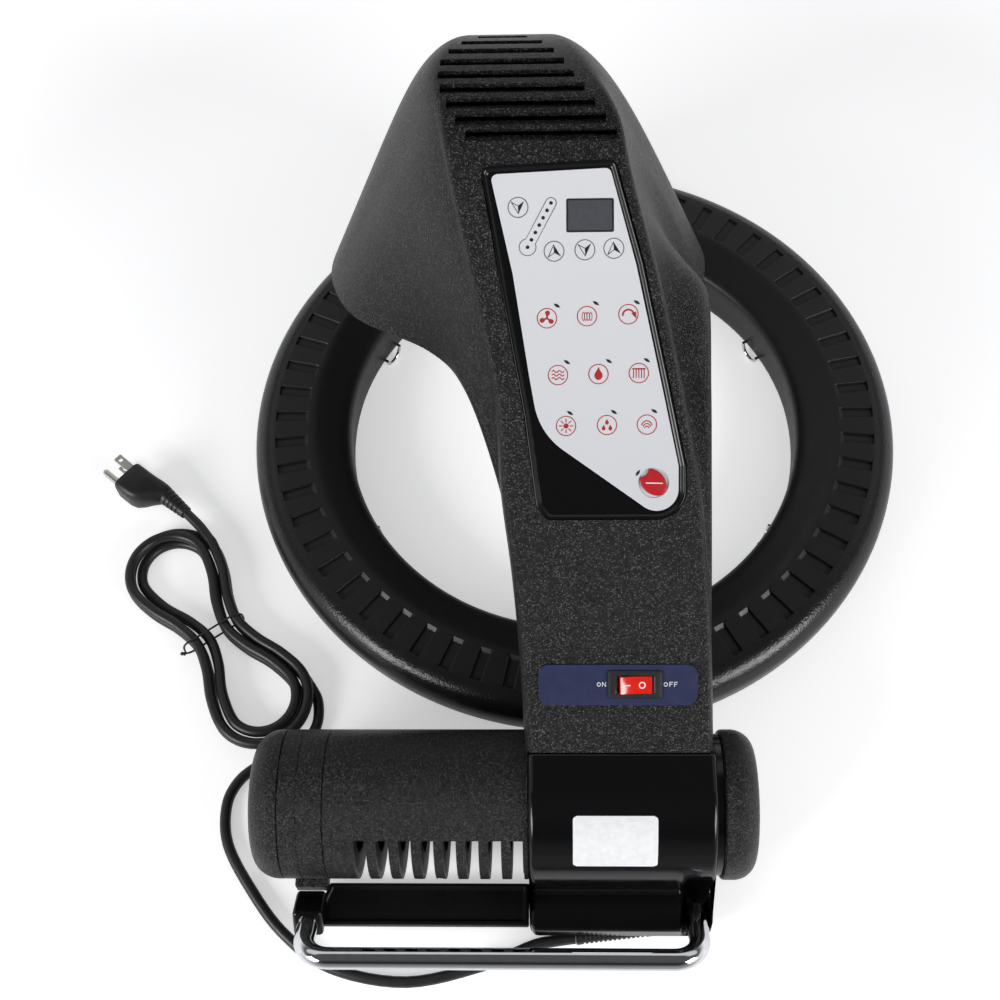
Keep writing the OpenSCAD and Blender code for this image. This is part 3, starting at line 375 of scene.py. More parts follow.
class Recipe(Nodes):
    """A material: a Principled shader with textures in object space."""

    def __init__(self, name, slot, color, rough, metal=0.0, **sockets):
        self.mat = bpy.data.materials.new(name)
        self.mat["slot"] = slot
        self.mat.use_nodes = True
        self.mat.diffuse_color = (*color, 1)
        super().__init__(self.mat.node_tree)
        self.bsdf = self.tree.nodes["Principled BSDF"]
        basis = {"Base_Color": (*color, 1), "Roughness": rough, "Metallic": metal}
        for key, value in {**basis, **sockets}.items():
            self.bsdf.inputs[key.replace("_", " ")].default_value = value
        self.color, self.rough = color, rough
        self.where = self.add("ShaderNodeTexCoord").outputs["Object"]

    def noise(self, size_mm, detail=3.0):
        """Noise whose features are about size_mm across."""
        return self.add("ShaderNodeTexNoise", {"Vector": self.where}, Scale=1 / (size_mm * MM),
                        Detail=detail, Roughness=0.55).outputs[0]

    def cells(self, size_mm, output="Distance"):
        return self.add("ShaderNodeTexVoronoi", {"Vector": self.where}, feature="F1",
                        Scale=1 / (size_mm * MM)).outputs[output]

    def tint(self, factor, color):
        """Blends the base colour toward another by a factor socket."""
        node = self.add("ShaderNodeMix", data_type="RGBA")
        node.inputs["A"].default_value = (*self.color, 1)
        node.inputs["B"].default_value = (*color, 1)
        self.tree.links.new(factor, node.inputs["Factor"])
        self.tree.links.new(node.outputs["Result"], self.bsdf.inputs["Base Color"])

    def vary_rough(self, socket, spread):
        out = self.ranged(socket, 0.3, 0.7, self.rough - spread, self.rough + spread)
        self.tree.links.new(out, self.bsdf.inputs["Roughness"])

    def bump(self, *layers):
        """Layers of (height socket, strength, depth in mm)."""
        links = {}
        for height, strength, depth in layers:
            node = self.add("ShaderNodeBump", {"Height": height, **links}, Distance=depth * MM)
            self.feed(strength, node.inputs["Strength"])
            links = {"Normal": node.outputs["Normal"]}
        self.tree.links.new(links["Normal"], self.bsdf.inputs["Normal"])


def grained(name, slot, cell, color, rough, depth, painted_glint, shine):
    """Leather-grain moulded plastic: small pebbles, with painted highlights on the tops of some of them."""
    m = Recipe(name, slot, color, rough, Specular_IOR_Level=shine)
    away = m.cells(cell)
    pebble = m.ranged(away, 0.0, 0.75, 1.0, 0.0)
    chance = m.add("ShaderNodeSeparateColor", {"Color": m.cells(cell, output="Color")}).outputs[0]
    glint_cells = m.ranged(chance, 0.52, 1.0, 0.0, 1.0)
    top = m.ranged(away, 0.20, 0.55, 1.0, 0.0)
    # Painted highlights: some pebble tops get a brighter base colour that stands in for glints.
    m.tint(m.math("MULTIPLY", glint_cells, top), tuple(c + painted_glint for c in color))
    m.vary_rough(m.noise(cell * 2.2), 0.07)
    m.bump((pebble, 1.0, depth), (m.noise(cell * 0.7, 3.0), 1.0, depth))
    return m.mat


def glossy(name, slot, color, rough, peel=0.02):
    """Polished plastic: a slight orange peel, roughness that varies and a little dust."""
    m = Recipe(name, slot, color, rough, Specular_IOR_Level=0.36)
    dust = m.ranged(m.noise(0.7, 2.0), 0.72, 0.8, 0.0, 0.5)
    m.tint(dust, tuple(c + 0.05 for c in color))
    m.vary_rough(m.noise(9.0, 5.0), 0.04)
    m.bump((m.noise(2.5, 2.0), 0.3, peel))
    return m.mat


BEAD_FADE = (0.2035, 0.2085)


def ring_black():
    """Satin in the slotted band and inside, orange peel on the outer bead."""
    m = Recipe("ring_satin", "grain_black", (0.012, 0.012, 0.013), 0.36, Specular_IOR_Level=0.36)
    x, y, _ = m.apart(m.where)
    dy = m.math("SUBTRACT", y, RING_Y * MM)
    r = m.math("SQRT", m.math("ADD", m.math("MULTIPLY", x, x), m.math("MULTIPLY", dy, dy)))
    bead = m.ranged(r, *BEAD_FADE, 0.0, 1.0)
    low = m.ranged(m.noise(6.0, 4.0), 0.3, 0.7, 0.33, 0.43)
    rough = m.math("SUBTRACT", low, m.math("MULTIPLY", bead, 0.16))
    m.tree.links.new(rough, m.bsdf.inputs["Roughness"])
    peel = m.math("ADD", m.math("MULTIPLY", bead, 0.75), 0.12)
    m.tint(m.ranged(m.noise(0.8, 3.0), 0.66, 0.8, 0.0, 1.0), (0.035, 0.035, 0.037))
    m.bump((m.noise(1.6, 2.5), peel, 0.28))
    return m.mat


def metal(name, slot, color, rough, streak=0.03):
    m = Recipe(name, slot, color, rough, 1.0)
    m.vary_rough(m.noise(12.0, 4.0), streak)
    m.tint(m.ranged(m.noise(5.0, 3.0), 0.35, 0.75, 0.0, 0.5), tuple(c * 0.86 for c in color))
    m.bump((m.noise(1.2, 3.0), 0.10, 0.01))
    return m.mat


def plain(name, slot, color, rough, size=1.2, depth=0.03, metal_share=0.0, **sockets):
    """Printed or moulded finish with faint mottling."""
    m = Recipe(name, slot, color, rough, metal_share, **sockets)
    m.vary_rough(m.noise(size * 5, 3.0), 0.05)
    m.tint(m.ranged(m.noise(size * 3, 4.0), 0.3, 0.8, 0.0, 1.0), tuple(c * 0.85 for c in color))
    m.bump((m.noise(size, 2.0), 0.3, depth))
    return m.mat


def brushed_silver():
    """Silver film: fine flecks, and a painted sheen that makes it lighter toward the top."""
    m = Recipe("overlay_film", "overlay_silver", (0.66, 0.67, 0.70), 0.34, 0.15)
    # Painted sheen: the film's colour is made lighter toward its top.
    painted_sheen = m.ranged(m.apart(m.where)[1], -0.06, 0.10, 0.0, 1.0)
    mottle = m.ranged(m.noise(0.5, 2.0), 0.3, 0.7, 0.0, 0.25)
    m.tint(m.math("ADD", m.math("MULTIPLY", painted_sheen, 0.75), mottle), (0.80, 0.81, 0.84))
    m.vary_rough(m.noise(0.6, 2.0), 0.05)
    m.bump((m.noise(0.4, 2.0), 0.15, 0.01))
    return m.mat


BLACK = (0.005, 0.005, 0.0055)
MAT = {
    "grain": grained("grain_black_fine", "grain_black", 0.85, BLACK, 0.30, 0.34, 0.17, 0.24),
    "coarse": grained("grain_black_coarse", "grain_black", 0.90, BLACK, 0.29, 0.36, 0.10, 0.30),
    "satin": plain("satin_black", "gloss_black", (0.0055, 0.0055, 0.006), 0.3, 2.5, 0.02),
    "inner": plain("moulded_black", "grain_black", (0.015, 0.015, 0.016), 0.5),
    "gloss": glossy("gloss_black_fine", "gloss_black", (0.0035, 0.0035, 0.004), 0.17),
    "ring": ring_black(),
    "silver": brushed_silver(),
    "display": plain("display_glass", "display_grey", (0.075, 0.078, 0.088), 0.22),
    "ink": plain("print_black", "display_grey", (0.018, 0.018, 0.020), 0.4),
    "grey_ink": plain("print_grey", "display_grey", (0.10, 0.10, 0.11), 0.4),
    "red_ink": plain("print_red", "key_red", (0.42, 0.022, 0.022), 0.4),
    "key": plain("key_red_soft", "key_red", (0.47, 0.013, 0.018), 0.33),
    "board": plain("board_green_fine", "board_green", (0.01, 0.09, 0.03), 0.45),
    "navy": plain("plate_navy_fine", "plate_navy", (0.024, 0.030, 0.082), 0.36),
    "frame": plain("frame_grey_fine", "frame_grey", (0.022, 0.022, 0.024), 0.38),
    "rocker": plain("rocker_lens", "rocker_red", (0.72, 0.016, 0.008), 0.16, Subsurface_Weight=0.25,
                    Subsurface_Scale=0.002, Coat_Weight=0.6, Coat_Roughness=0.08),
    "white": plain("label_paper", "label_white", (0.80, 0.81, 0.82), 0.42),
    "steel": metal("steel_brushed", "steel", (0.56, 0.57, 0.59), 0.3, 0.06),
    "bronze": metal("bronze_sintered", "bronze", (0.47, 0.30, 0.12), 0.36, 0.05),
    "carbon": plain("carbon_block", "carbon_brown", (0.05, 0.03, 0.02), 0.5),
    "socket": metal("socket_blackened", "socket_metal", (0.10, 0.10, 0.11), 0.4, 0.06),
    "chrome": metal("chrome_bright", "chrome", (0.80, 0.81, 0.83), 0.055, 0.015),
    "reflector": metal("reflector_sheet", "reflector", (0.74, 0.74, 0.76), 0.16, 0.04),
    "gear": plain("gear_nylon", "gear_white", (0.72, 0.71, 0.66), 0.42),
    "heater": plain("heater_quartz", "heater_glass", (0.62, 0.40, 0.34), 0.1, Coat_Weight=0.5),
    "ceramic": plain("ceramic_matte", "ceramic_white", (0.76, 0.73, 0.66), 0.55),
    "cord": plain("cord_rubber", "cord_black", (0.013, 0.013, 0.014), 0.40, 1.0, 0.05),
    "blade": metal("blade_nickel", "steel", (0.66, 0.63, 0.58), 0.24, 0.05),
}

CAD_FINISH = {
    "grain": ["arm_base"],
    "coarse": ["barrel_front_shell", "barrel_rear_shell", "left_band", "left_end_cap", "right_end_cap"],
    "inner": ["bell_floor", "elbow_rear", "barrel_hubs", "rotor_disc", "ring_neck",
              "fan_plate", "fan_wheel", "handle_bracket", "handle_boss"],
    "gloss": ["elbow_cover", "right_collar", "ring_base", "cord_tie"],
    "display": ["timer_display"],
    "board": ["control_board"],
    "navy": ["switch_plate"],
    "frame": ["switch_frame"],
    "white": ["blank_label"],
    "steel": ["hinge_pins", "friction_discs", "balance_spring", "clamp_screw", "rotor_carrier",
              "carrier_posts", "rotor_shaft", "drive_motor", "fan_motor", "housing_screws"],
    "bronze": ["hinge_bushes", "rotor_bushes", "slip_ring"],
    "carbon": ["brush_block"],
    "socket": ["stand_socket"],
    "chrome": ["wire_guards"],
    "reflector": ["reflector"],
    "gear": ["rotor_gear", "drive_pinion"],
    "heater": ["heater_tubes"],
    "ceramic": ["heater_holders"],
}
for finish, names in CAD_FINISH.items():
    for node_name in names:
        for cad_slot in NODES[node_name].material_slots:
            cad_slot.link = "OBJECT"
            cad_slot.material = MAT[finish]


# ---- camera ----
CAM_AT = Vector((-0.0143, -0.4783, 0.9493))
CAM_YAW, CAM_EL, CAM_ROLL, CAM_LENS = 4.09, 61.62, -3.88, 55.26


def make_camera():
    yaw, el, roll = (math.radians(a) for a in (CAM_YAW, CAM_EL, CAM_ROLL))
    ahead = Vector((-math.sin(yaw) * math.cos(el), math.cos(yaw) * math.cos(el), -math.sin(el)))
    right = Vector((math.cos(yaw), math.sin(yaw), 0))
    up = right.cross(ahead)
    across = math.cos(roll) * right + math.sin(roll) * up
    upward = -math.sin(roll) * right + math.cos(roll) * up
    turn = Matrix((across, upward, -ahead)).transposed().to_4x4()
    data = bpy.data.cameras.new("camera")
    data.lens, data.sensor_width = CAM_LENS, 36.0
    data.clip_end = 20.0
    cam = bpy.data.objects.new("camera", data)
    cam.matrix_world = Matrix.Translation(CAM_AT) @ turn
    scene.collection.objects.link(cam)
    scene.camera = cam


make_camera()

# ---- cord: lead, hank and tail on one curve, with relief, tie and plug ----
NOTCH_X = 45.5
RELIEF_P, RELIEF_E = arr(NOTCH_X, -264.1, 6.3), arr(-1.5, -270.7, 4.5)
LEAD = [RELIEF_E, (-14, -272.4, 4), (-27, -275, 3.6), (-57, -287, 3.6), (-103, -297, 3.6), (-149, -289, 3.6),
        (-180, -268, 3.6), (-203, -240, 3.6), (-219, -213, 3.6), (-222, -189, 3.6), (-216, -173, 3.6),
        (-204, -162.5, 3.7), (-189, -157, 3.9), (-176, -148.5, 4.1), (-168, -134.5, 4.3), (-168.3, -119, 4.4)]
HANK_AT, HANK_TURN, HANK_RUN = arr(-206, -120, 4.4), 36.0, 116.0
HANK_R, HANK_WAIST, FOLD_STEP, WAIST_STEP, LAYER_STEP = 32.9, 17.6, 7.9, 8.8, 7.5
PLUG_P, PLUG_A = arr(-268.5, 17.5, 11.9), 139.4


def hank_in(q):
    """Steps in from the outermost run after q half loops."""
    return q / 2 if q < 3 else (6 - q) / 2


def hank_up(q, t):
    """Height over the lowest run: the hank's second half lies on its first."""
    if q < 3:
        return 0.0
    return LAYER_STEP if q > 3 else LAYER_STEP * ease(t)


def run_pt(q, t):
    r = HANK_R - FOLD_STEP * hank_in(q)
    w = HANK_WAIST - WAIST_STEP * hank_in(q)
    y, side = (t, 1) if q % 2 == 0 else (1 - t, -1)
    return arr(side * (r - (r - w) * math.sin(math.pi * t) ** 2), y * HANK_RUN, hank_up(q, t))


def fold_pt(q, t):
    r = HANK_R - FOLD_STEP * mix(hank_in(q), hank_in(q + 1), t)
    far = q % 2 == 0
    x = r * math.cos(math.pi * t) * (1 if far else -1)
    y = HANK_RUN + r * math.sin(math.pi * t) if far else -r * math.sin(math.pi * t)
    return arr(x, y, hank_up(q, 1))


def hank_pt(p):
    return HANK_AT + spun(p, HANK_TURN)


def at_plug(p):
    return PLUG_P + spun(p, PLUG_A)


def cord_line():
    steps = [k / 6 for k in range(6)]
    local = [arr(HANK_R, -CORD_D, 0)]
    for q in range(6):
        local += [run_pt(q, t) for t in steps] + [fold_pt(q, t) for t in steps]
    local += [run_pt(6, t) for t in (*steps, 1.0)]
    local += [arr(HANK_R, HANK_RUN + CORD_D, LAYER_STEP)]
    hank = [hank_pt(p) for p in local]
    tail = [(-257.5, 6.4, 11.8), (-263, 12.2, 11.8), PLUG_P]
    return catmull(LEAD + [hank[0] + arr(2, -2.8, 0)] + hank + tail, 6)


def tube_curve(name, line, radius, material, replaced, round_to):
    """A tube of the housing along points in mm, as a curve of one open spline."""
    data = bpy.data.curves.new(name, "CURVE")
    data.dimensions = "3D"
    data.bevel_depth = radius * MM
    data.bevel_resolution = round_to
    data.use_fill_caps = True
    spline = data.splines.new("POLY")
    spline.points.add(len(line) - 1)
    spline.points.foreach_set("co", [c for p in line for c in (*(np.asarray(p, dtype=float) * MM), 1.0)])
    spline.use_smooth = True
    obj = bpy.data.objects.new(name, data)
    scene.collection.objects.link(obj)
    return dress(obj, "housing", material, replaced)


def along(p, q):
    """Maps (x, y, s) so that s runs from p toward q and y is up."""
    d = unit(q - p)
    side = unit(np.cross(d, arr(0, 0, 1)))
    up = np.cross(side, d)

    def place(v):
        v = np.asarray(v, dtype=float)
        return p + v[..., :1] * side + v[..., 1:2] * up + v[..., 2:3] * d
    return place


def ribbed_relief(length, r0, r1, ribs, first):
    """Profile of a ribbed strain relief, from its wide end."""
    profile = [(0, 0), (r0, 0)]
    pitch = (length - first - 3) / ribs
    for k in range(ribs):
        s = first + k * pitch
        r = mix(r0, r1, s / length)
        profile += [(r, s - 0.4), (r - 0.2, s), (r - 0.8, s + 0.25), (r - 0.8, s + pitch * 0.36),
                    (r - 0.2, s + pitch * 0.5)]
    return profile + [(r1 + 0.1, length - 2.2), (r1, length - 0.5), (r1 - 0.6, length), (0, length)]


# The plug's sections: place along it, middle (y, z), half sizes (y, z) and squareness
PLUG_ROWS = [(20.1, 0.2, 0, 6.0, 6.0, 2), (21.0, 0.4, 0, 6.9, 6.7, 2.1), (25, 2.2, 0, 9.0, 8.0, 2.4),
             (29, 4.6, 0, 11.0, 9.4, 2.9), (33, 6.6, 0.1, 12.0, 10.4, 3.6), (38, 7.6, 0.2, 12.2, 11.0, 4.4),
             (46, 7.9, 0.2, 12.0, 11.1, 5), (49.6, 8.0, 0.2, 11.9, 11.1, 5),
             (50.7, 8.0, 0.2, 11.6, 10.8, 5), (51.1, 8.0, 0.2, 10.8, 10.0, 5)]
PIN_R, PIN_LEN, PIN_TIP, PLUG_FACE = 2.4, 15.5, 3.4, 51.2


def plug_loop(s, cy, cz, hy, hz, power, n=40):
    """A rounded-square loop across the plug's line."""
    out = []
    for a in around(n):
        c, d = math.cos(a), math.sin(a)
        out.append(at_plug(arr(s, cy + hy * math.copysign(abs(c) ** (2 / power), c),
                               cz + hz * math.copysign(abs(d) ** (2 / power), d))))
    return out


def make_cord():
    line = cord_line()
    length = sum(float(np.linalg.norm(b - a)) for a, b in zip(line, line[1:]))
    lead = tube_curve("power_lead", line, CORD_D / 2, MAT["cord"],
                      ("power_cord", "cord_hank", "cord_tail"), 6)
    sleeve = ribbed_relief(float(np.linalg.norm(RELIEF_E - RELIEF_P)) - 0.1, 5.4, 4.2, 14, 5)
    relief = add_mesh("ribbed_strain_relief", revolve(sleeve, 40, along(RELIEF_P, RELIEF_E)), "housing",
                      MAT["cord"], ("strain_relief",), 40)
    sleeve = revolve(ribbed_relief(20.0, 6.4, 4.5, 4, 2.5), 40,
                     along(at_plug(arr(20.05, 0, 0)), at_plug(arr(0.05, 0, 0))))
    neck = add_mesh("plug_neck", sleeve, "housing", MAT["cord"], ("plug_relief",), 40)
    body = add_mesh("plug_shell", loops_solid([plug_loop(*row) for row in PLUG_ROWS]), "housing", MAT["cord"],
                    ("plug_body",), 40)
    blades = make_blades()
    tie = make_tie()
    print("cord length, mm:", round(length, 1))


def make_blades():
    """Two flat blades with holes and a round earth pin."""
    rect = filleted([(PLUG_FACE, -0.5), (67.2, -0.5), (67.2, 5.8), (PLUG_FACE, 5.8)], 0.9, 4)
    edge = inset(rect, 0.25)
    hole = [arr(63.2, 2.6) + polar(1.6, a) for a in around(len(rect)) + math.radians(225)]
    rings = ((edge, 0.75), (rect, 0.5), (rect, -0.5), (edge, -0.75), (hole, -0.75), (hole, 0.75))
    parts = [loops_tube([lifted(loop, z + h, at_plug) for loop, h in rings]) for z in (-6.35, 6.35)]
    tip = [(PIN_R * math.cos(a), PIN_LEN + PIN_TIP * math.sin(a)) for a in np.linspace(0.2, math.pi / 2, 7)]
    pin = along(at_plug(arr(PLUG_FACE, 14.6, 0)), at_plug(arr(80, 14.6, 0)))
    parts.append(revolve([(0, 0), (PIN_R, 0), (PIN_R, PIN_LEN)] + tip, 28, pin))
    return add_mesh("plug_pins", joined(parts), "housing", MAT["blade"], ("plug_blades",), 40)


def make_tie():
    """A thin plastic-coated wire round the hank's waist, its ends twisted together."""
    w, h = HANK_WAIST + CORD_D / 2 + 0.9, LAYER_STEP + CORD_D + 0.9
    waist = HANK_RUN / 2 + 1.5

    def place(x, y, z):
        return hank_pt(arr(x, waist + y, z + 0.75 - HANK_AT[2]))
    loop = filleted([(-w, 0), (w, 0), (w, h), (-w, h)], 5.0, 6)
    line = [place(x, 1.1 * math.sin(3 * math.pi * k / len(loop)), z) for k, (x, z) in enumerate(loop)]
    line.append(place(loop[0][0], 0.8, loop[0][1]))
    twist = [place(-w - 0.8 - 0.2 * k, 0.9 * math.cos(k * 0.9), 5 + 0.9 * math.sin(k * 0.9) + k * 0.3)
             for k in range(14)]
    return tube_curve("wire_tie", line + twist, 0.7, MAT["cord"], ("cord_tie",), 3)


make_cord()


# ---- housing ----
def turned_slope(v):
    a = math.radians(SLOPE)
    return arr(0, ARM_Y, ARM_Z) + v * arr(0, math.cos(a), math.sin(a))


INWARD = arr(0, math.sin(math.radians(SLOPE)), -math.cos(math.radians(SLOPE)))
TILT = math.radians(AXIS_TILT)
BELL_C = arr(BELL_X, AXIS_Y + MOUTH_H * math.sin(TILT), AXIS_FOOT + MOUTH_H * math.cos(TILT))
BELL_UP, BELL_FRONT = arr(0, math.sin(TILT), math.cos(TILT)), arr(0, -math.cos(TILT), math.sin(TILT))


def rim(a):
    a = math.radians(a)
    return BELL_C + BELL_R * (math.sin(a) * arr(1, 0, 0) + math.cos(a) * BELL_FRONT)


CROWN = [turned_slope(FACE_LEN), turned_slope(FACE_LEN + 83), arr(0, RING_Y + 215, 258),
         rim(180) + arr(-BELL_X, 2, 3)]


def crown_pt(t):
    return cubic(*CROWN, t)


def arm_edge(v, x, depth):
    return turned_slope(v) + arr(x, 0, 0) + depth * INWARD


ARM_R = ELBOW_X2 - 0.5
# Key sections of the housing: middle, x and half width of the face, left and right ends of the sides
SECTIONS = [
    (turned_slope(0), 24.4, 50, arm_edge(0, ELBOW_X1 - 3, 36), arm_edge(0, ARM_R + 2, 36)),
    (turned_slope(55), 22.5, 51, arm_edge(55, ELBOW_X1 - 5, 36), arm_edge(55, ARM_R + 1, 36)),
    (turned_slope(104), 19, 52, arm_edge(104, ELBOW_X1 - 8, 36), arm_edge(104, ARM_R + 1, 36)),
    (turned_slope(152), 14, 53, arm_edge(152, ELBOW_X1 - 17, 38), arm_edge(152, ARM_R + 1, 38)),
    (turned_slope(209), 7, 50, arm_edge(209, ELBOW_X1 - 37, 47), arm_edge(209, ARM_R + 1, 42)),
    (turned_slope(267), -5, 50, rim(-25), arm_edge(267, ARM_R + 2, 70)),
    (turned_slope(330), -19.7, 48.4, rim(-54), rim(64)),
    (crown_pt(0.14), -26.5, 47.5, rim(-76), rim(78)),
    (crown_pt(0.28), -36, 41.5, rim(-95), rim(95)),
    (crown_pt(0.42), -39, 32, rim(-113), rim(113)),
    (crown_pt(0.56), -39, 22, rim(-131), rim(131)),
    (crown_pt(0.70), -38, 15, rim(-148), rim(148)),
    (crown_pt(0.84), -37, 9, rim(-163), rim(163)),
    (crown_pt(0.95), -37, 5, rim(-173), rim(173)),
]
SECTION_ROWS = np.array([[*p, x, w, *left, *right] for p, x, w, left, right in SECTIONS])

# Height of the arm's side wall above the valley where the bell begins, for each key section
WALL_LEFT = [26, 26, 26, 26, 21, 12, 7.5, 3.2, 0.8, 0, 0, 0, 0, 0]
WALL_RIGHT = [26, 26, 26, 26, 26, 28, 18, 7, 1, 0, 0, 0, 0, 0]
EDGE_ROUND, VALLEY_TURN, FULL_WALL, SHOULDER = 4.2, 9.0, 7.0, 0.34


def spaced(points, n):
    """n + 1 points along a 3D line, close together at its start."""
    p = np.array(points)
    run = np.concatenate([[0], np.cumsum(np.linalg.norm(np.diff(p, axis=0), axis=1))])
    s = run[-1] * np.linspace(0, 1, n + 1) ** 1.6
    return np.stack([np.interp(s, run, p[:, k]) for k in range(3)], -1)


def flank(top, edge, side, s, wall, n=34):
    """Side of section s, from the face to the rim: a wall with a valley below it, or one soft curve."""
    b = ease(clamp((s - 3) / 4))
    length = float(np.linalg.norm(edge - top))
    up = unit(mix(-INWARD, BELL_UP * 0.9 - unit(edge - BELL_C) * 0.42, b))
    out = arr(side, 0, 0)
    round_over = mix(13, 17, b) + 3 * clamp(s - 7.5)
    soft = bezier(top, top + out * min(round_over, length * 0.4), edge + up * length * mix(0.62, 0.55, b),
                  edge, 90)
    foot = top + out * (EDGE_ROUND + 0.06 * wall) + INWARD * (EDGE_ROUND + wall)
    reach = float(np.linalg.norm(edge - foot))
    brow = bezier(top, top + out * EDGE_ROUND * 0.75, foot - INWARD * (wall + EDGE_ROUND * 0.4), foot, 40)
    turn = min(VALLEY_TURN, reach * 0.4)
    swell = min(1.0, 2.5 * b) * min(1.0, wall / 12) if side < 0 else 0.0
    shoulder = foot + INWARD * turn * 0.35 + unit(out + INWARD * 0.75) * reach * SHOULDER * b
    bowl = bezier(foot, mix(foot + INWARD * turn, shoulder, swell), edge + up * reach * mix(0.45, 0.58, b),
                  edge, 70)
    firm = np.concatenate([brow, bowl[1:]])
    return mix(spaced(soft, n), spaced(firm, n), ease(min(1.0, wall / FULL_WALL)))


def housing_grid(per_section=11):
    grid = []
    for i, row in enumerate(np.array(catmull(SECTION_ROWS, per_section))):
        s = i / per_section
        spine, x, w, left, right = row[:3], row[3], row[4], row[5:8], row[8:11]
        l, r = arr(x - w, *spine[1:]), arr(x + w, *spine[1:])
        face = [mix(l, r, k / 12) for k in range(1, 12)]
        low, high = (float(np.interp(s, range(len(SECTIONS)), w)) for w in (WALL_LEFT, WALL_RIGHT))
        grid.append([*flank(l, left, -1, s, low)[::-1], *face, *flank(r, right, 1, s, high)])
    return np.array(grid)


def shell_of(grid, wall):
    """A closed part: the grid of points and the same grid moved inward by the wall."""
    normal = np.cross(np.gradient(grid, axis=1), np.gradient(grid, axis=0))
    normal /= np.linalg.norm(normal, axis=2)[..., None] + 1e-9
    n, m = grid.shape[:2]
    k = n * m
    index = np.arange(k).reshape(n, m)
    rim_line = np.concatenate([index[0], index[1:, -1], index[-1, -2::-1], index[-2:0:-1, 0]]).tolist()
    faces = grid_faces(n, m) + [f[::-1] for f in grid_faces(n, m, start=k)]
    faces += [(a, k + a, k + b, b) for a, b in zip(rim_line, rim_line[1:] + rim_line[:1])]
    return np.concatenate([grid.reshape(-1, 3), (grid - wall * normal).reshape(-1, 3)]), faces


PANEL = [(-17, 0), (62.5, 0, 17), (62.5, 31), (53.1, 77), (38.5, 146), (22.4, 204), (-54.2, 200.6),
         (-41, 122), (-30, 60), (-23.5, 8)]


def panel_loop(d=0.0):
    loop = filleted([(x, y + PANEL_V, *r) for x, y, *r in PANEL], 5.0, 7)
    return inset(loop, d) if d else np.array(loop)


def crown_frame(i):
    """Place of vent i: its middle, and the directions across, along and out of the surface."""
    v = FACE_LEN + 29 + i * 13 + 0.3 * i * i
    t = (v - FACE_LEN) / 330
    p, q = crown_pt(t), crown_pt(t + 0.01)
    ahead = unit(arr(0, q[1] - p[1], q[2] - p[2]))
    x = -19.5 - 23.5 * math.sin(math.radians(min(90, i * 15)))
    return arr(x, p[1], p[2]), arr(1, 0, 0), ahead, np.cross(arr(1, 0, 0), ahead)


def vent_cutter(i):
    """A louvre: its floor slopes down from the lower edge to an open slit at the upper edge."""
    at, across, ahead, out = crown_frame(i)
    half, w = 43 - 0.055 * i ** 3, VENT_W / 2
    profile = [(-w, 6.0), (-w - 0.3, -0.1), (w - 0.2, -4.6), (w, -4.6), (w, 6.0)]
    return loops_solid([[at + across * x + ahead * a + out * b for a, b in profile] for x in (-half, half)])


def make_housing():
    shell = add_mesh("housing_shell", shell_of(housing_grid(), WALL), "housing", MAT["grain"],
                     ("arm_shell",), 34)
    opening = prism(panel_loop(-0.3), -14, 8)
    rocker = prism(box(ROCKER_X, ROCKER_V, *ROCKER_HOLE), -14, 6)
    section = [(0.0, -200.0), (BARREL_R + 0.4, -200.0), (BARREL_R + 0.4, 200.0), (0.0, 200.0)]
    vents = joined([vent_cutter(i) for i in range(VENTS)])
    cut_away(shell, 34, opening, rocker, revolve(section, 96, at_barrel), vents)


make_housing()


# ---- panel ----
def make_bezel():
    steps = [(0, -7), (0, -0.7), (0.25, -0.25), (0.7, 0.0), (1.2, -0.1), (1.9, -0.7), (2.8, -1.5),
             (3.5, -1.9), (4.1, -2.0)]
    loops = [lifted(panel_loop(d), z) for d, z in steps]
    add_mesh("bezel_frame", loops_solid(loops), "housing", MAT["gloss"], ("panel_bezel",), 50)


OVERLAY = [(19.4, 199.4), (-48.6, 196.4), (-36, 140), (-27, 82), (-21.3, 49.6, 40), (58.2, -6.9, 12.5),
           (58.2, 30.5), (48.7, 76.3), (34.1, 145)]


def make_overlay():
    """The silver film, open round the display and the start key."""
    loop = filleted([(x, y + PANEL_V, *r) for x, y, *r in OVERLAY], 3.5, 6)
    film = add_mesh("overlay_sheet", prism(loop, -RECESS, -RECESS + OVERLAY_T), "housing", MAT["silver"],
                    ("control_overlay",), 30)
    window = prism(box(DISPLAY_X, DISPLAY_V, DISPLAY_W, DISPLAY_H), -4, 2)
    cut_away(film, 30, window, prism(circle_loop(KEY_X, KEY_V, KEY_R + 0.2, 64), -4, 2))


def circle_loop(x, y, r, n=32):
    return oval(x, y, r, r, n)


make_bezel()
make_overlay()
PRINT_Z = -RECESS + OVERLAY_T + 0.02


class Print:
    """Flat printed shapes on the sloped face, one piece per ink."""

    def __init__(self, name, material, z=PRINT_Z, thick=0.06, place=at_face):
        self.name, self.material, self.z, self.top, self.place = name, material, z, z + thick, place
        self.parts = []

    def shape(self, loop):
        self.parts.append(prism(loop, self.z, self.top, self.place))

    def band(self, outer, inner):
        rings = ((outer, self.z), (inner, self.z), (inner, self.top), (outer, self.top))
        self.parts.append(loops_tube([lifted(loop, z, self.place) for loop, z in rings]))

    def ring(self, x, y, r, w, n=40):
        self.band(circle_loop(x, y, r, n), circle_loop(x, y, r - w, n))

    def stroke(self, line, w):
        """A line of even width with round ends."""
        p = np.array(line, dtype=float)
        t = np.gradient(p, axis=0)
        t /= np.linalg.norm(t, axis=1)[:, None]
        side = np.stack([-t[:, 1], t[:, 0]], -1) * w / 2

        def tip(at, start):
            a = math.atan2(start[1], start[0])
            return [at + polar(w / 2, a + k * math.pi / 6) for k in range(1, 6)]
        self.shape([*(p - side), *tip(p[-1], -side[-1]), *(p + side)[::-1], *tip(p[0], side[0])])

    def done(self, body="housing"):
        add_mesh(self.name, joined(self.parts), body, self.material)


def spin(points, deg, x, y):
    return spun(points, deg) + arr(x, y)


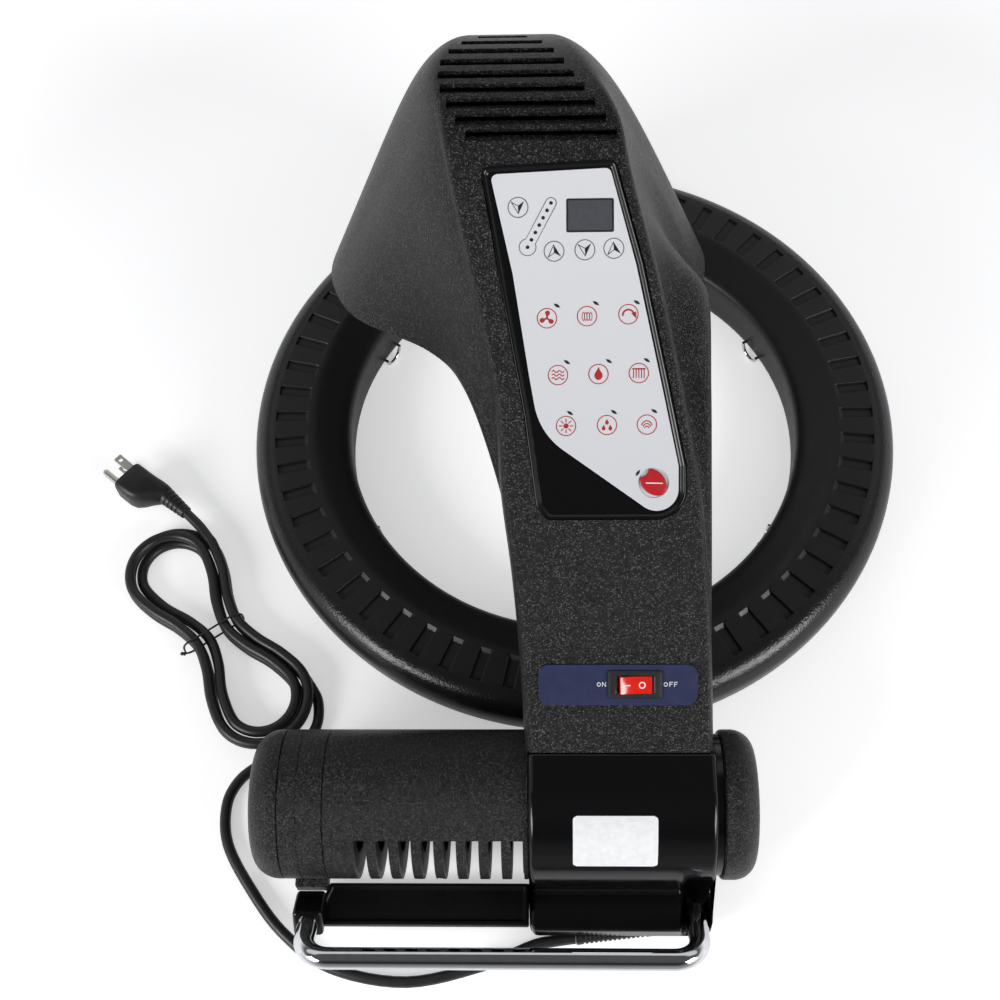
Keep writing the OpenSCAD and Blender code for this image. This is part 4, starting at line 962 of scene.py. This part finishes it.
UP_KEYS = [(-12.5, 289.0, 1), (5.0, 289.6, -1), (21.4, 290.3, 1), (-32.8, 313.8, -1)]
MODE_ROWS = [[(-16.7, 251.2), (6.1, 252.2), (29.6, 253.1)], [(-10.6, 218.9), (12.5, 219.3), (35.5, 219.7)],
             [(-6.1, 189.8), (17.3, 190.2), (40.1, 190.3)]]
LEDS = [(-11, 258.3), (11.2, 259.5), (34.4, 259.8), (-5.4, 226.2), (18.5, 226.6), (40.1, 227),
        (-3.8, 197.2), (21.3, 197.6), (44.3, 198), (34.9, 162.6)]


def make_prints():
    dark = Print("print_dark", MAT["ink"])
    grey = Print("print_outlines", MAT["grey_ink"])
    half = [(0, 3.7), (0, -0.9), (3.8, -3.3)]
    for x, y, way in UP_KEYS:
        grey.ring(x, y, 5.9, 0.5)
        dark.shape(spin([(px, way * py) for px, py in half[::way]], 4, x, y))
        for edge in ([(0, 3.5), (-3.6, -3.2)], [(-3.6, -3.2), (0, -0.9)]):
            dark.stroke(spin([(px, way * py) for px, py in edge], 4, x, y), 0.38)
    a, b = arr(-14.1, 316.1), arr(-27.5, 291.4)
    back = math.atan2(*(a - b)[::-1])

    def bar(r_top, r_low):
        top = [a + polar(r_top, back + k) for k in np.linspace(math.pi / 2, -math.pi / 2, 13)]
        low = [b + polar(r_low, back + k) for k in np.linspace(-math.pi * 0.22, -math.pi * 1.78, 31)]
        return (top + low)[::-1]
    grey.band(bar(3.25, 5.0), bar(2.8, 4.55))
    for k in range(7):
        dark.shape(circle_loop(*mix(a, b, k / 6), 1.05, 18))
    lens = [(2.3 * math.cos(t), 0.85 * math.sin(t) ** 3) for t in around(24)]
    for x, y in LEDS:
        dark.shape(spin(lens, -32 if (x, y) != LEDS[-1] else 54, x, y))
    rect = filleted(box(DISPLAY_X, DISPLAY_V, DISPLAY_W, DISPLAY_H), 0.4, 2)
    dark.band(inset(rect, -0.5), inset(rect, 0.55))
    dark.done()
    grey.done()
    make_icons()


def make_icons():
    """Plain pictograms: fan, coil, turn arrow, then waves, drop, comb, then sun, drops and arcs."""
    red = Print("print_red_icons", MAT["red_ink"])
    spots = [p for row in MODE_ROWS for p in row]
    for x, y in spots:
        red.ring(x, y, 5.8, 0.55)
    fan, coil, arrow, waves, one_drop, comb, sun, three_drops, arcs = spots
    blade = [(0.45, -0.3), (0.6, 1.4), (1.45, 2.5), (1.4, 3.7), (0.4, 4.4), (-0.8, 4.2), (-1.35, 3.2),
             (-0.9, 2.0), (-0.45, 1.2), (-0.45, -0.3)]
    for k in range(3):
        red.shape(spin(blade, 120 * k - 5, *fan))
    x, y = coil
    for dx in (-2.1, -0.7, 0.7, 2.1):
        turn = oval(x + dx, y - 0.2, 0.95, 2.5, 28)
        red.band(turn, inset(turn, 0.38))
    x, y = arrow
    red.stroke([arr(x, y - 0.6) + polar(3.2, t) for t in np.linspace(math.pi, 0.25, 24)], 1.0)
    red.shape([(x + 1.6, y + 0.4), (x + 4.6, y - 2.6), (x + 4.4, y + 1.6)])
    x, y = waves
    for k in (-2, 0, 2):
        red.stroke([(x - 3.4 + 6.8 * t, y + k + 0.6 * math.sin(t * 4 * math.pi))
                    for t in np.linspace(0, 1, 33)], 0.6)
    drop = arr((0, 4.0), (-0.9, 2.2), (-2.1, 0.4), (-2.4, -1.2), (-1.5, -2.9), (0, -3.5), (1.5, -2.9),
               (2.4, -1.2), (2.1, 0.4), (0.9, 2.2))
    red.shape(drop + arr(*one_drop))
    x, y = comb
    for k in range(5):
        red.stroke([(x - 3 + 1.5 * k, y - 2.6), (x - 3 + 1.5 * k, y + 2.2)], 0.55)
    red.stroke([(x - 3.5, y + 2.4), (x + 3.5, y + 2.4)], 0.8)
    red.shape(circle_loop(*sun, 1.5, 20))
    for k in range(8):
        red.stroke(spin([(2.3, 0), (3.9, 0)], 45 * k, *sun), 0.6)
    for px, py in ((-1.9, -1.6), (1.9, -1.6), (0, 1.7)):
        red.shape(0.45 * drop + arr(*three_drops) + arr(px, py))
    x, y = arcs
    for k in range(3):
        red.stroke([(x + (1.4 + k) * math.cos(t), y - 2.4 + (1.4 + k * 1.6) * math.sin(t))
                    for t in np.linspace(0.5, 2.64, 16)], 0.6)
    red.done()


make_prints()


def domed(loop, z0, z1, crown, bevel):
    """A part over a loop on the sloped face whose top is rounded and crowned."""
    centre = np.mean(np.array(loop), axis=0)
    inner = inset(loop, bevel)
    rings = [lifted(loop, z0), lifted(loop, z1 - bevel), lifted(inset(loop, bevel * 0.3), z1 - bevel * 0.3)]
    rings += [lifted(mix(inner, centre, t), z1 + crown * (1 - (1 - t) ** 2)) for t in (0, 0.2, 0.4, 0.6, 0.8)]
    return loops_solid(rings)


def make_key():
    """An egg-shaped key, dented at one end, with a line on it, in the overlay's round hole."""
    half = [(-6.5, 0), (-6.7, 1.4), (-7.6, 3.6), (-5.6, 5.4), (-2.6, 6.4), (0.6, 6.5), (4.0, 5.7), (6.8, 3.9),
            (8.2, 1.9)]
    outline = half + [(8.5, 0)] + [(u, -w) for u, w in half[:0:-1]]
    closed = catmull(outline[-1:] + outline + outline[:2], 5)[5:-6]
    z0 = -RECESS + 0.7
    cap = domed(spin(closed[::-1], -45, KEY_X, KEY_V), z0, z0 + 0.75, 0.3, 0.35)
    add_mesh("start_key_cap", cap, "start_key", MAT["key"], ("start_key",), 40)
    line = Print("start_key_mark", MAT["white"], z0 + 1.08)
    line.stroke([(KEY_X - 4.4, KEY_V - 0.1), (KEY_X + 4.9, KEY_V - 0.3)], 0.6)
    line.done("start_key")
    disc = Print("overlay_key_field", MAT["silver"], -RECESS + 0.02, 0.05)
    disc.shape(circle_loop(KEY_X, KEY_V, KEY_R + 0.2, 48))
    disc.done()


make_key()


# ---- rocker switch ----
def at_switch(p):
    return at_face(np.asarray(p, dtype=float) + arr(ROCKER_X, ROCKER_V, 0))


def at_lens(x, y, z):
    """A point of the tipped rocker."""
    u, w = spun((x, z), -ROCKER_TIP)
    return at_switch(arr(u, y, 0.6 + w))


def lens_top(x):
    return 3.25 + 1.1 * (x / 9.0) ** 2


def on_lens(p):
    return at_lens(p[0], p[1], lens_top(p[0]) + p[2])


def make_switch():
    outer = filleted(box(0, 0, 15.5, 8.2), 1.3, 5)
    inner = filleted(box(0, 0, 10.2, 5.4), 0.3, 5)
    steps = [(outer, 1.9, 1.1), (outer, 0.0, 1.1), (outer, 0.0, 2.0), (outer, 0.5, 2.6), (outer, 1.3, 2.75),
             (outer, 3.3, 2.72), (inner, -0.7, 2.35), (inner, 0, 1.9), (inner, 0, -9.5), (inner, -1.2, -9.5)]
    surround = loops_tube([lifted(inset(loop, d), z, at_switch) for loop, d, z in steps])
    add_mesh("switch_surround", surround, "housing", MAT["frame"], ("switch_frame",), 35)
    half_w, chamfer, drawn = 5.0, 0.35, 0.965
    side = [(-9.3, -1.0), (-3.0, -4.0), (3.0, -4.0), (9.3, -1.0), (9.35, 3.9), (9.0, 4.35)]
    side += [(x, lens_top(x)) for x in np.linspace(8.4, -8.4, 15)] + [(-9.0, 4.35), (-9.35, 3.9)]
    slices = ((-half_w, drawn), (-half_w + chamfer, 1), (half_w - chamfer, 1), (half_w, drawn))
    lens = loops_solid([[at_lens(x * k, y, z * k + (1 - k) * 1.5) for x, z in side] for y, k in slices])
    add_mesh("rocker_lens", lens, "rocker", MAT["rocker"], ("rocker",), 35)
    marks = Print("rocker_marks", MAT["white"], 0.02, 0.08, on_lens)
    marks.shape(box(-4.9, 0, 1.7, 0.35))
    marks.ring(3.6, 0, 2.0, 0.65, 28)
    marks.done("rocker")


make_switch()

LETTER_H, LETTER_STROKE = 1.25, 0.38
LETTERS = {
    "N": [(-0.95, -LETTER_H, -0.95, LETTER_H), (-0.95, LETTER_H, 0.95, -LETTER_H),
          (0.95, -LETTER_H, 0.95, LETTER_H)],
    "F": [(-0.8, -LETTER_H, -0.8, LETTER_H), (-0.8, LETTER_H, 0.9, LETTER_H), (-0.8, 0.1, 0.6, 0.1)],
}


def make_words():
    """ON and OFF beside the rocker, as strokes."""
    ink = Print("switch_marks", MAT["white"], 1.07)
    for kind, x in (("O", 12.2), ("N", 15.2), ("O", 50.8), ("F", 53.9), ("F", 56.6)):
        if kind == "O":
            loop = oval(x, ROCKER_V, 1.15, LETTER_H, 24)
            ink.band(loop, inset(loop, LETTER_STROKE))
            continue
        for x0, y0, x1, y1 in LETTERS[kind]:
            ink.stroke([(x + x0, ROCKER_V + y0), (x + x1, ROCKER_V + y1)], LETTER_STROKE)
    ink.done()


make_words()


# ---- ring ----
def ring_profile():
    """Outer line of the ring's section, from its outer foot over the top to its inner foot, as (r, z)."""
    top = RING_H
    out = list(bezier((212, 4), (216.8, 8.8), (RING_R, 15.5), (RING_R, top - BEAD_R), 12))
    centre = arr(RING_R - BEAD_R, top - BEAD_R)
    out += [centre + polar(BEAD_R, a) for a in np.radians(np.arange(5, 86, 5))]
    out = [p for p in out if p[0] > SLOT_R2 + 0.8]
    rows = [205.7, 205.35, 205.05, 204.75, 203, 199, 195, 191, 187.6, 185.4, 184.3, 183.25, 182.9]
    out += [arr(r, top - max(0.0, r - 204) ** 2 / 34) for r in rows]
    out += list(bezier((182, top), (178, 44.9), (173.5, 43.0), (168, 41.2), 7))
    out += list(bezier((165, 40.2), (158.5, 38.2), (154.2, 36.4), (HOLE_R, 31.5), 9))
    out += [arr(HOLE_R, z) for z in (26, 20, 14, 9)] + [arr(HOLE_R + 0.25, 6), arr(HOLE_R + 1, 4)]
    return np.array(out)


BETWEEN = -1.0
HALF_SLOT = SLOT_W / 2
# Offsets from a slot's middle, in mm at the slot's radius; BETWEEN stands for the line between two slots
SLOT_COLUMNS = [BETWEEN, -HALF_SLOT - 3.0, -HALF_SLOT - 0.35, -HALF_SLOT, -HALF_SLOT + 0.35, -1.2, 1.2,
                HALF_SLOT - 0.35, HALF_SLOT, HALF_SLOT + 0.35, HALF_SLOT + 3.0]
END_DEPTHS = {204.75: 1.0, 205.05: 0.14, 184.3: 0.62, 183.25: 0.12}


def slot_depth(r, w):
    if not SLOT_R1 < r < SLOT_R2 + 0.2 or w == BETWEEN or abs(w) > HALF_SLOT + 0.1:
        return 0.0
    across = 0.14 if abs(abs(w) - HALF_SLOT) < 0.01 else 1.0
    return SLOT_DEPTH * min(END_DEPTHS.get(round(float(r), 2), 1.0), across)


def make_ring():
    profile = ring_profile()
    tangent = np.gradient(profile, axis=0)
    normal = np.stack([tangent[:, 1], -tangent[:, 0]], -1)
    normal /= np.linalg.norm(normal, axis=1)[:, None]
    inner = profile - RING_WALL * normal
    step = 2 * math.pi / SLOTS

    def point(k, w, r, z, at):
        a = k * step + (-step / 2 if w == BETWEEN else math.asin(w / at))
        return arr(*polar(r, a), z)
    loops = [[point(k, w, r, z - slot_depth(r, w), max(SLOT_R1, min(SLOT_R2, r))) for r, z in profile]
             + [point(k, w, r, z, 195) for r, z in inner[::-3]] for k in range(SLOTS) for w in SLOT_COLUMNS]
    add_mesh("ring_shell", loops_tube(np.array(loops) + arr(0, RING_Y, 0)), "ring", MAT["ring"],
             ("ring_upper_shell",), 34)


make_ring()


# ---- elbow, bracket and caps ----
def resampled(points, n):
    """n points spread evenly along a 2D line."""
    p = np.array(points, dtype=float)
    run = np.concatenate([[0], np.cumsum(np.linalg.norm(np.diff(p, axis=0), axis=1))])
    s = np.linspace(0, run[-1], n)
    return np.stack([np.interp(s, run, p[:, 0]), np.interp(s, run, p[:, 1])], -1)


FLANGE_FRONT, FLANGE_TOP, FLANGE_LOW = -71, 23.3 - BARREL_R, 9.4 - BARREL_R
LEG_X = HANDLE_X + HANDLE_SPAN
LEG_ROOT, LEG_END = arr(BARREL_Y - 57, 14.6), arr(BARREL_Y - 91.15, 40)
LEG_LEAN = math.degrees(math.atan2(LEG_END[1] - LEG_ROOT[1], LEG_ROOT[0] - LEG_END[0]))
LEG_LEN = float(np.linalg.norm(LEG_END - LEG_ROOT))


def elbow_line(front, channel):
    """Section of the elbow in the barrel frame, from its seam with the arm to the flange's foot."""
    line = [(15.2, 47.9), (14.6, 48.45)]
    line += [(x, mix(48.45, 48.25, (14.6 - x) / 24.0)) for x in np.linspace(12, -8.6, 10)]
    line += arc(0, 0, ELBOW_R, 103.6, 118, 9)
    if channel:
        line += arc(0, 0, ELBOW_R, 120, 157, 22)
        line += [*bezier(polar(ELBOW_R, math.radians(158)), (-50.5, 4), (-42.0, -6), (-42.5, -19), 14)]
        line += [*bezier((-42.6, -21), (-43, -30), (-50, -32.6), (-57, -32.8), 12)]
        line += [(x, -32.9) for x in np.linspace(-58, front + 1.4, 8)]
        line += arc(front + 1.2, -33.9, 1.0, 90, 180, 6)
    else:
        line += arc(0, 0, ELBOW_R, 120, 180, 40) + [(-48.8, -5), (-48.0, -10), (-46.8, -15)]
        line += arc(-ELBOW_R - 0.6, FLANGE_TOP + 3.2, 3.2, 5, -90, 10)
        line += [(x, FLANGE_TOP) for x in np.linspace(-52, front + 2.4, 12)]
        line += arc(front + 2.2, FLANGE_TOP - 2.2, 2.2, 90, 180, 8)
    return resampled(line + [(front, FLANGE_LOW + 0.6), (front + 0.6, FLANGE_LOW)], 150)


def rounding(near, r):
    """How far a corner of radius r draws back at a distance from its side."""
    return r - math.sqrt(max(0.0, r ** 2 - max(0.0, r - near) ** 2))


def make_elbow():
    """The elbow with its flange, which opens into a channel round the handle's right leg."""
    back = [(-46, FLANGE_LOW), (-42.0, -18), (-45.2, 0), (-44.9, 6), (-40, 19.5), (-30, 33.5), (-15, 42.5),
            (0, 45.2), (22, 39.3), (33.5, 18.4), (34.5, 18.3), (34.7, 18.9)]
    edge, corner, left, right = 3.6, 5.5, ELBOW_X1, ELBOW_X2
    ends = edge * (1 - np.cos(np.radians(np.linspace(0, 90, 9))))
    xs = [*(left + ends), *np.linspace(left + edge + 1.5, LEG_X - 12, 34),
          *np.linspace(LEG_X - 11.5, right - edge - 0.5, 30), *(right - ends[::-1])]
    loops = []
    for x in xs:
        near = min(x - left, right - x)
        front = FLANGE_FRONT + rounding(near, corner)
        open_by = (10.5 - abs(x - LEG_X)) / 5.2 if x < LEG_X else (right - 0.6 - x) / 3.2
        line = mix(elbow_line(front, False), elbow_line(front, True), ease(clamp(open_by)))
        loop = np.array([*line, *back])
        moved = inset(loop, rounding(near, edge))
        moved[len(line):] = back
        loops.append(lifted(moved, x, at_barrel))
    add_mesh("elbow_shell", loops_solid(loops), "housing", MAT["gloss"], ("elbow_cover", "handle_boss"), 38)


make_elbow()


def make_label():
    """A blank label with rounded corners, wrapped on the elbow."""
    half_w, half_h, middle, x_middle, corner = 24.4, 16.3, 134.2, 21.1, 2.2
    rows = []
    for y in np.linspace(-half_h, half_h, 29):
        w = half_w - rounding(half_h - abs(y), corner)
        a = math.radians(middle) - y / ELBOW_R
        xs = x_middle + np.linspace(-w, w, 13)
        outer, inner = ([at_barrel(arr(*polar(ELBOW_R + h, a), x)) for x in xs] for h in (0.2, 0.02))
        rows.append(outer + inner[::-1])
    add_mesh("label_field", loops_solid(rows), "housing", MAT["white"], ("blank_label",), 40)


make_label()


def make_bracket():
    """The left foot of the handle: a rounded block on the yoke plate, round the leg's root."""
    corners = [LEG_END + spun(p, -LEG_LEAN) for p in box(LEG_LEN - 3, 0, 11, 9)]
    floor = 9.05
    cut = []
    for a, b in zip(corners, corners[1:] + corners[:1]):
        if a[1] >= floor:
            cut.append(a)
        if (a[1] - floor) * (b[1] - floor) < 0:
            cut.append(mix(a, b, (floor - a[1]) / (b[1] - a[1])))
    foot = loops_solid([[arr(x, *q) for q in cut] for x in (HANDLE_X - 9, HANDLE_X + 9)])
    bevelled("handle_foot", foot, MAT["gloss"], ("handle_bracket",), 2.6, 4)


make_bracket()


def turned_part(name, profile, replaced=()):
    """A revolve about the hinge: profile of (x, r), closed."""
    part = revolve([(r, x) for x, r in profile], 160, at_barrel)
    add_mesh(name, part, "housing", MAT["coarse"], replaced, 34)


def make_plate():
    """The yoke plate: its long part, a rounded lip round a shallow field, and its root under the elbow."""
    y1, y2, right = BARREL_Y - 65, BARREL_Y - 39, ELBOW_X1 - 0.4
    sharp = [(-163, y1), (right, y1), (right, y2), (-152, y2)]
    steps = [(0.8, 4.0), (0.0, 4.8), (0.0, 7.6), (0.5, 8.7), (1.4, 9.0), (2.6, 9.0), (3.0, 8.7), (3.3, 7.7),
             (3.8, 7.45), (4.6, 7.45)]
    loops = [lifted(filleted(mitred(sharp, d), max(0.4, 1.2 - d), 5), z, as_is) for d, z in steps]
    add_mesh("plate_tray", loops_solid(loops), "housing", MAT["satin"], (), 40)
    left = ELBOW_X1 - 0.2
    root = filleted([(left, y2 + 0.2), (left, y2 - 15), (ELBOW_X2, y2 - 15), (ELBOW_X2, y2 + 0.2)], 0.4, 3)
    bevelled("plate_root", prism(root, 4.0, 8.95, as_is), MAT["satin"], ("yoke_plate",), 0.5)


FINS, FIN_PITCH, FIN_FROM, FIN_TO = 8, 13.1, 137, 252


def make_fins():
    """Deep fins behind the grille's ribs, inside the barrel's wall."""
    r1, r2, thick = 28.0, BARREL_R - 3.45, 2.5
    parts = []
    for i in range(FINS):
        x = ELBOW_X1 - FIN_PITCH * (i + 1)
        section = [(r1 + 0.8, x - thick), (r2, x - thick), (r2, x + thick), (r1 + 0.8, x + thick), (r1, x)]
        parts.append(revolve(section, 40, at_barrel, FIN_FROM, FIN_TO))
    add_mesh("grille_fins", joined(parts), "barrel", MAT["inner"])


def dome(x, depth, height, r=BARREL_R):
    """Quarter of an ellipse from (x, r) outward along x by depth and in toward the hinge by height."""
    return [(x + depth * math.sin(a), r - height + height * math.cos(a))
            for a in np.radians(np.arange(0, 91, 3))]


def make_caps():
    r, seam, band_x = BARREL_R, BAND_X1 - 0.8, -148.95
    band = [(band_x, r - 4), (band_x, r - 0.5), (-149.4, r), (-163.9, r), (-164.1, r - 0.28),
            (-164.5, r - 0.28), (-164.7, r), (seam + 0.55, r), (seam + 0.1, r - 0.5), (seam, r - 1.2),
            (seam, 20), (-150, 20)]
    turned_part("left_band_shell", band)
    left = seam - 0.05
    cap = [(left, 20), (left, r - 1.2), (seam - 0.15, r - 0.5), (seam - 0.6, r)] + dome(-178.6, -15.5, 14)
    turned_part("left_cap_dome", cap + [(-194.9, 12), (-195.0, 0), (left, 0)], ("left_end_cap",))
    foot = [arr(BARREL_Y, 0) + arr(*p) for p in ((-44.4, 9.0), (-32.5, 9.0), (-32.5, 20), (-44.4, 20))]
    foot = loops_solid([[arr(x, *p) for p in foot] for x in (-172, -152)])
    bevelled("left_band_foot", foot, MAT["coarse"], ("left_band",), 1.2)
    x0, h = ELBOW_X2 + 4.0, 20.0
    cap = [(x0, 0), (x0, r - 2.6), (x0 + 0.3, r - 1.2), (x0 + 1.4, r - 0.2), (x0 + 3.0, r)]
    cap += dome(x0 + h - 12.5, 13.5, 12.5) + [(x0 + h + 1.3, 12), (x0 + h + 1.4, 0)]
    turned_part("right_cap_dome", cap, ("right_end_cap",))


make_caps()
make_plate()
make_fins()


# ---- handle ----
def make_handle():
    b, span = HANDLE_BEND, HANDLE_SPAN
    bend = np.radians(np.arange(4, 90, 4))
    line = [(0, y) for y in np.linspace(LEG_LEN, b, 10)]
    line += [(b - b * math.cos(a), b - b * math.sin(a)) for a in bend]
    line += [(x, 0) for x in np.linspace(b, span - b, 40)]
    line += [(span - b + b * math.sin(a), b - b * math.cos(a)) for a in bend]
    line += [(span, y) for y in np.linspace(b, LEG_LEN, 10)]
    pts = turned(lifted(line, 0, as_is), -LEG_LEAN) + arr(HANDLE_X, *LEG_END)
    tube_curve("chrome_handle", pts, HANDLE_R, MAT["chrome"], ("handle_tube",), 14)


make_handle()


# ---- floor, light and world ----
FLOOR_HALF, FLOOR_Z = 6.0, -0.0005
FLOOR_GLOW, FLOOR_FADE, FLOOR_MIRRORED, FLOOR_FRONT = 0.47, (0.55, 1.3), 0.22, (-0.42, -0.31)
WORLD_FILL, FRONT_DIM, TOP_STRIP = 0.30, 0.22, 0.6
SKY_FADE, FRONT_FADE = (0.10, 0.50, 1.0, 0.09), (-0.85, -0.5)
STRIP_LOW, STRIP_HIGH, STRIP_BACK = (0.50, 0.58), (0.80, 0.86), (0.1, 0.3)
LAMP_AWAY, LAMP_SIZE, LAMP_WATTS = 2.2, (1.1, 0.75), 31.0
LAMPS = {"soft_left": (-0.74, -0.58, 0.42), "soft_right": (0.76, -0.56, 0.42)}


def make_stage():
    """A white floor that glows in the camera's view only, fainter in mirrors, and dark in front in them."""
    mesh = bpy.data.meshes.new("floor")
    mesh.from_pydata([(x, y, FLOOR_Z) for x, y in box(0, 0, FLOOR_HALF, FLOOR_HALF)], [], [(0, 1, 2, 3)])
    floor = bpy.data.objects.new("floor", mesh)
    scene.collection.objects.link(floor)
    m = Recipe("floor_white", "label_white", (0.86, 0.86, 0.87), 0.6, Specular_IOR_Level=0.1,
               Emission_Color=(1, 1, 1, 1))
    away = m.add("ShaderNodeVectorMath", {0: m.where}, operation="LENGTH").outputs["Value"]
    glow = m.ranged(away, *FLOOR_FADE, FLOOR_GLOW, 1.0)
    rays = m.rays()
    mirrored = m.math("MAXIMUM", rays["Is Glossy Ray"], rays["Is Transmission Ray"])
    shown = m.math("MAXIMUM", m.math("MULTIPLY", rays["Is Camera Ray"], glow),
                   m.math("MULTIPLY", mirrored, FLOOR_MIRRORED))
    m.tree.links.new(shown, m.bsdf.inputs["Emission Strength"])
    front = m.ranged(m.apart(m.where)[1], *FLOOR_FRONT, 1.0, 0.0)
    m.tint(m.math("MULTIPLY", rays["Is Glossy Ray"], front), (0.10, 0.10, 0.11))
    mesh.materials.append(m.mat)


def softbox(name, direction):
    """An area light that faces the object from a direction."""
    aim = Vector((0, 0, 0.06))
    at = aim + Vector(direction).normalized() * LAMP_AWAY
    data = bpy.data.lights.new(name, "AREA")
    data.shape = "RECTANGLE"
    data.size, data.size_y = LAMP_SIZE
    data.energy = LAMP_WATTS
    obj = bpy.data.objects.new(name, data)
    obj.location = at
    obj.rotation_euler = (aim - at).to_track_quat("-Z", "Y").to_euler()
    scene.collection.objects.link(obj)


def make_light():
    """Two softboxes, and a world that is seen as a sky with a bright strip and lights as an even fill."""
    for name, direction in LAMPS.items():
        softbox(name, direction)
    scene.world = bpy.data.worlds.new("world")
    scene.world.use_nodes = True
    n = Nodes(scene.world.node_tree)
    back = n.tree.nodes["Background"]
    _, y, z = n.apart(n.add("ShaderNodeTexCoord").outputs["Generated"])
    rays = n.rays()
    low = n.ranged(z, *SKY_FADE, interpolation_type="SMOOTHSTEP")
    front = n.math("MAXIMUM", n.ranged(y, *FRONT_FADE, FRONT_DIM, 1.0), rays["Is Camera Ray"])
    strip = n.math("MULTIPLY", n.ranged(z, *STRIP_LOW, 0.0, 1.0), n.ranged(z, *STRIP_HIGH, 1.0, 0.0))
    strip = n.math("MULTIPLY", n.math("MULTIPLY", strip, n.ranged(y, *STRIP_BACK, 0.0, 1.0)), TOP_STRIP)
    sky = n.math("ADD", n.math("MULTIPLY", low, front), strip)
    direct = rays["Is Camera Ray"]
    for name in ("Is Glossy Ray", "Is Transmission Ray"):
        direct = n.math("MAXIMUM", direct, rays[name])
    pick = n.add("ShaderNodeMix", {"Factor": direct, "B": sky}, A=WORLD_FILL)
    n.tree.links.new(pick.outputs["Result"], back.inputs["Strength"])
    back.inputs["Color"].default_value = (0.97, 0.98, 1, 1)


make_stage()
make_light()
scene.view_settings.view_transform = "Standard"
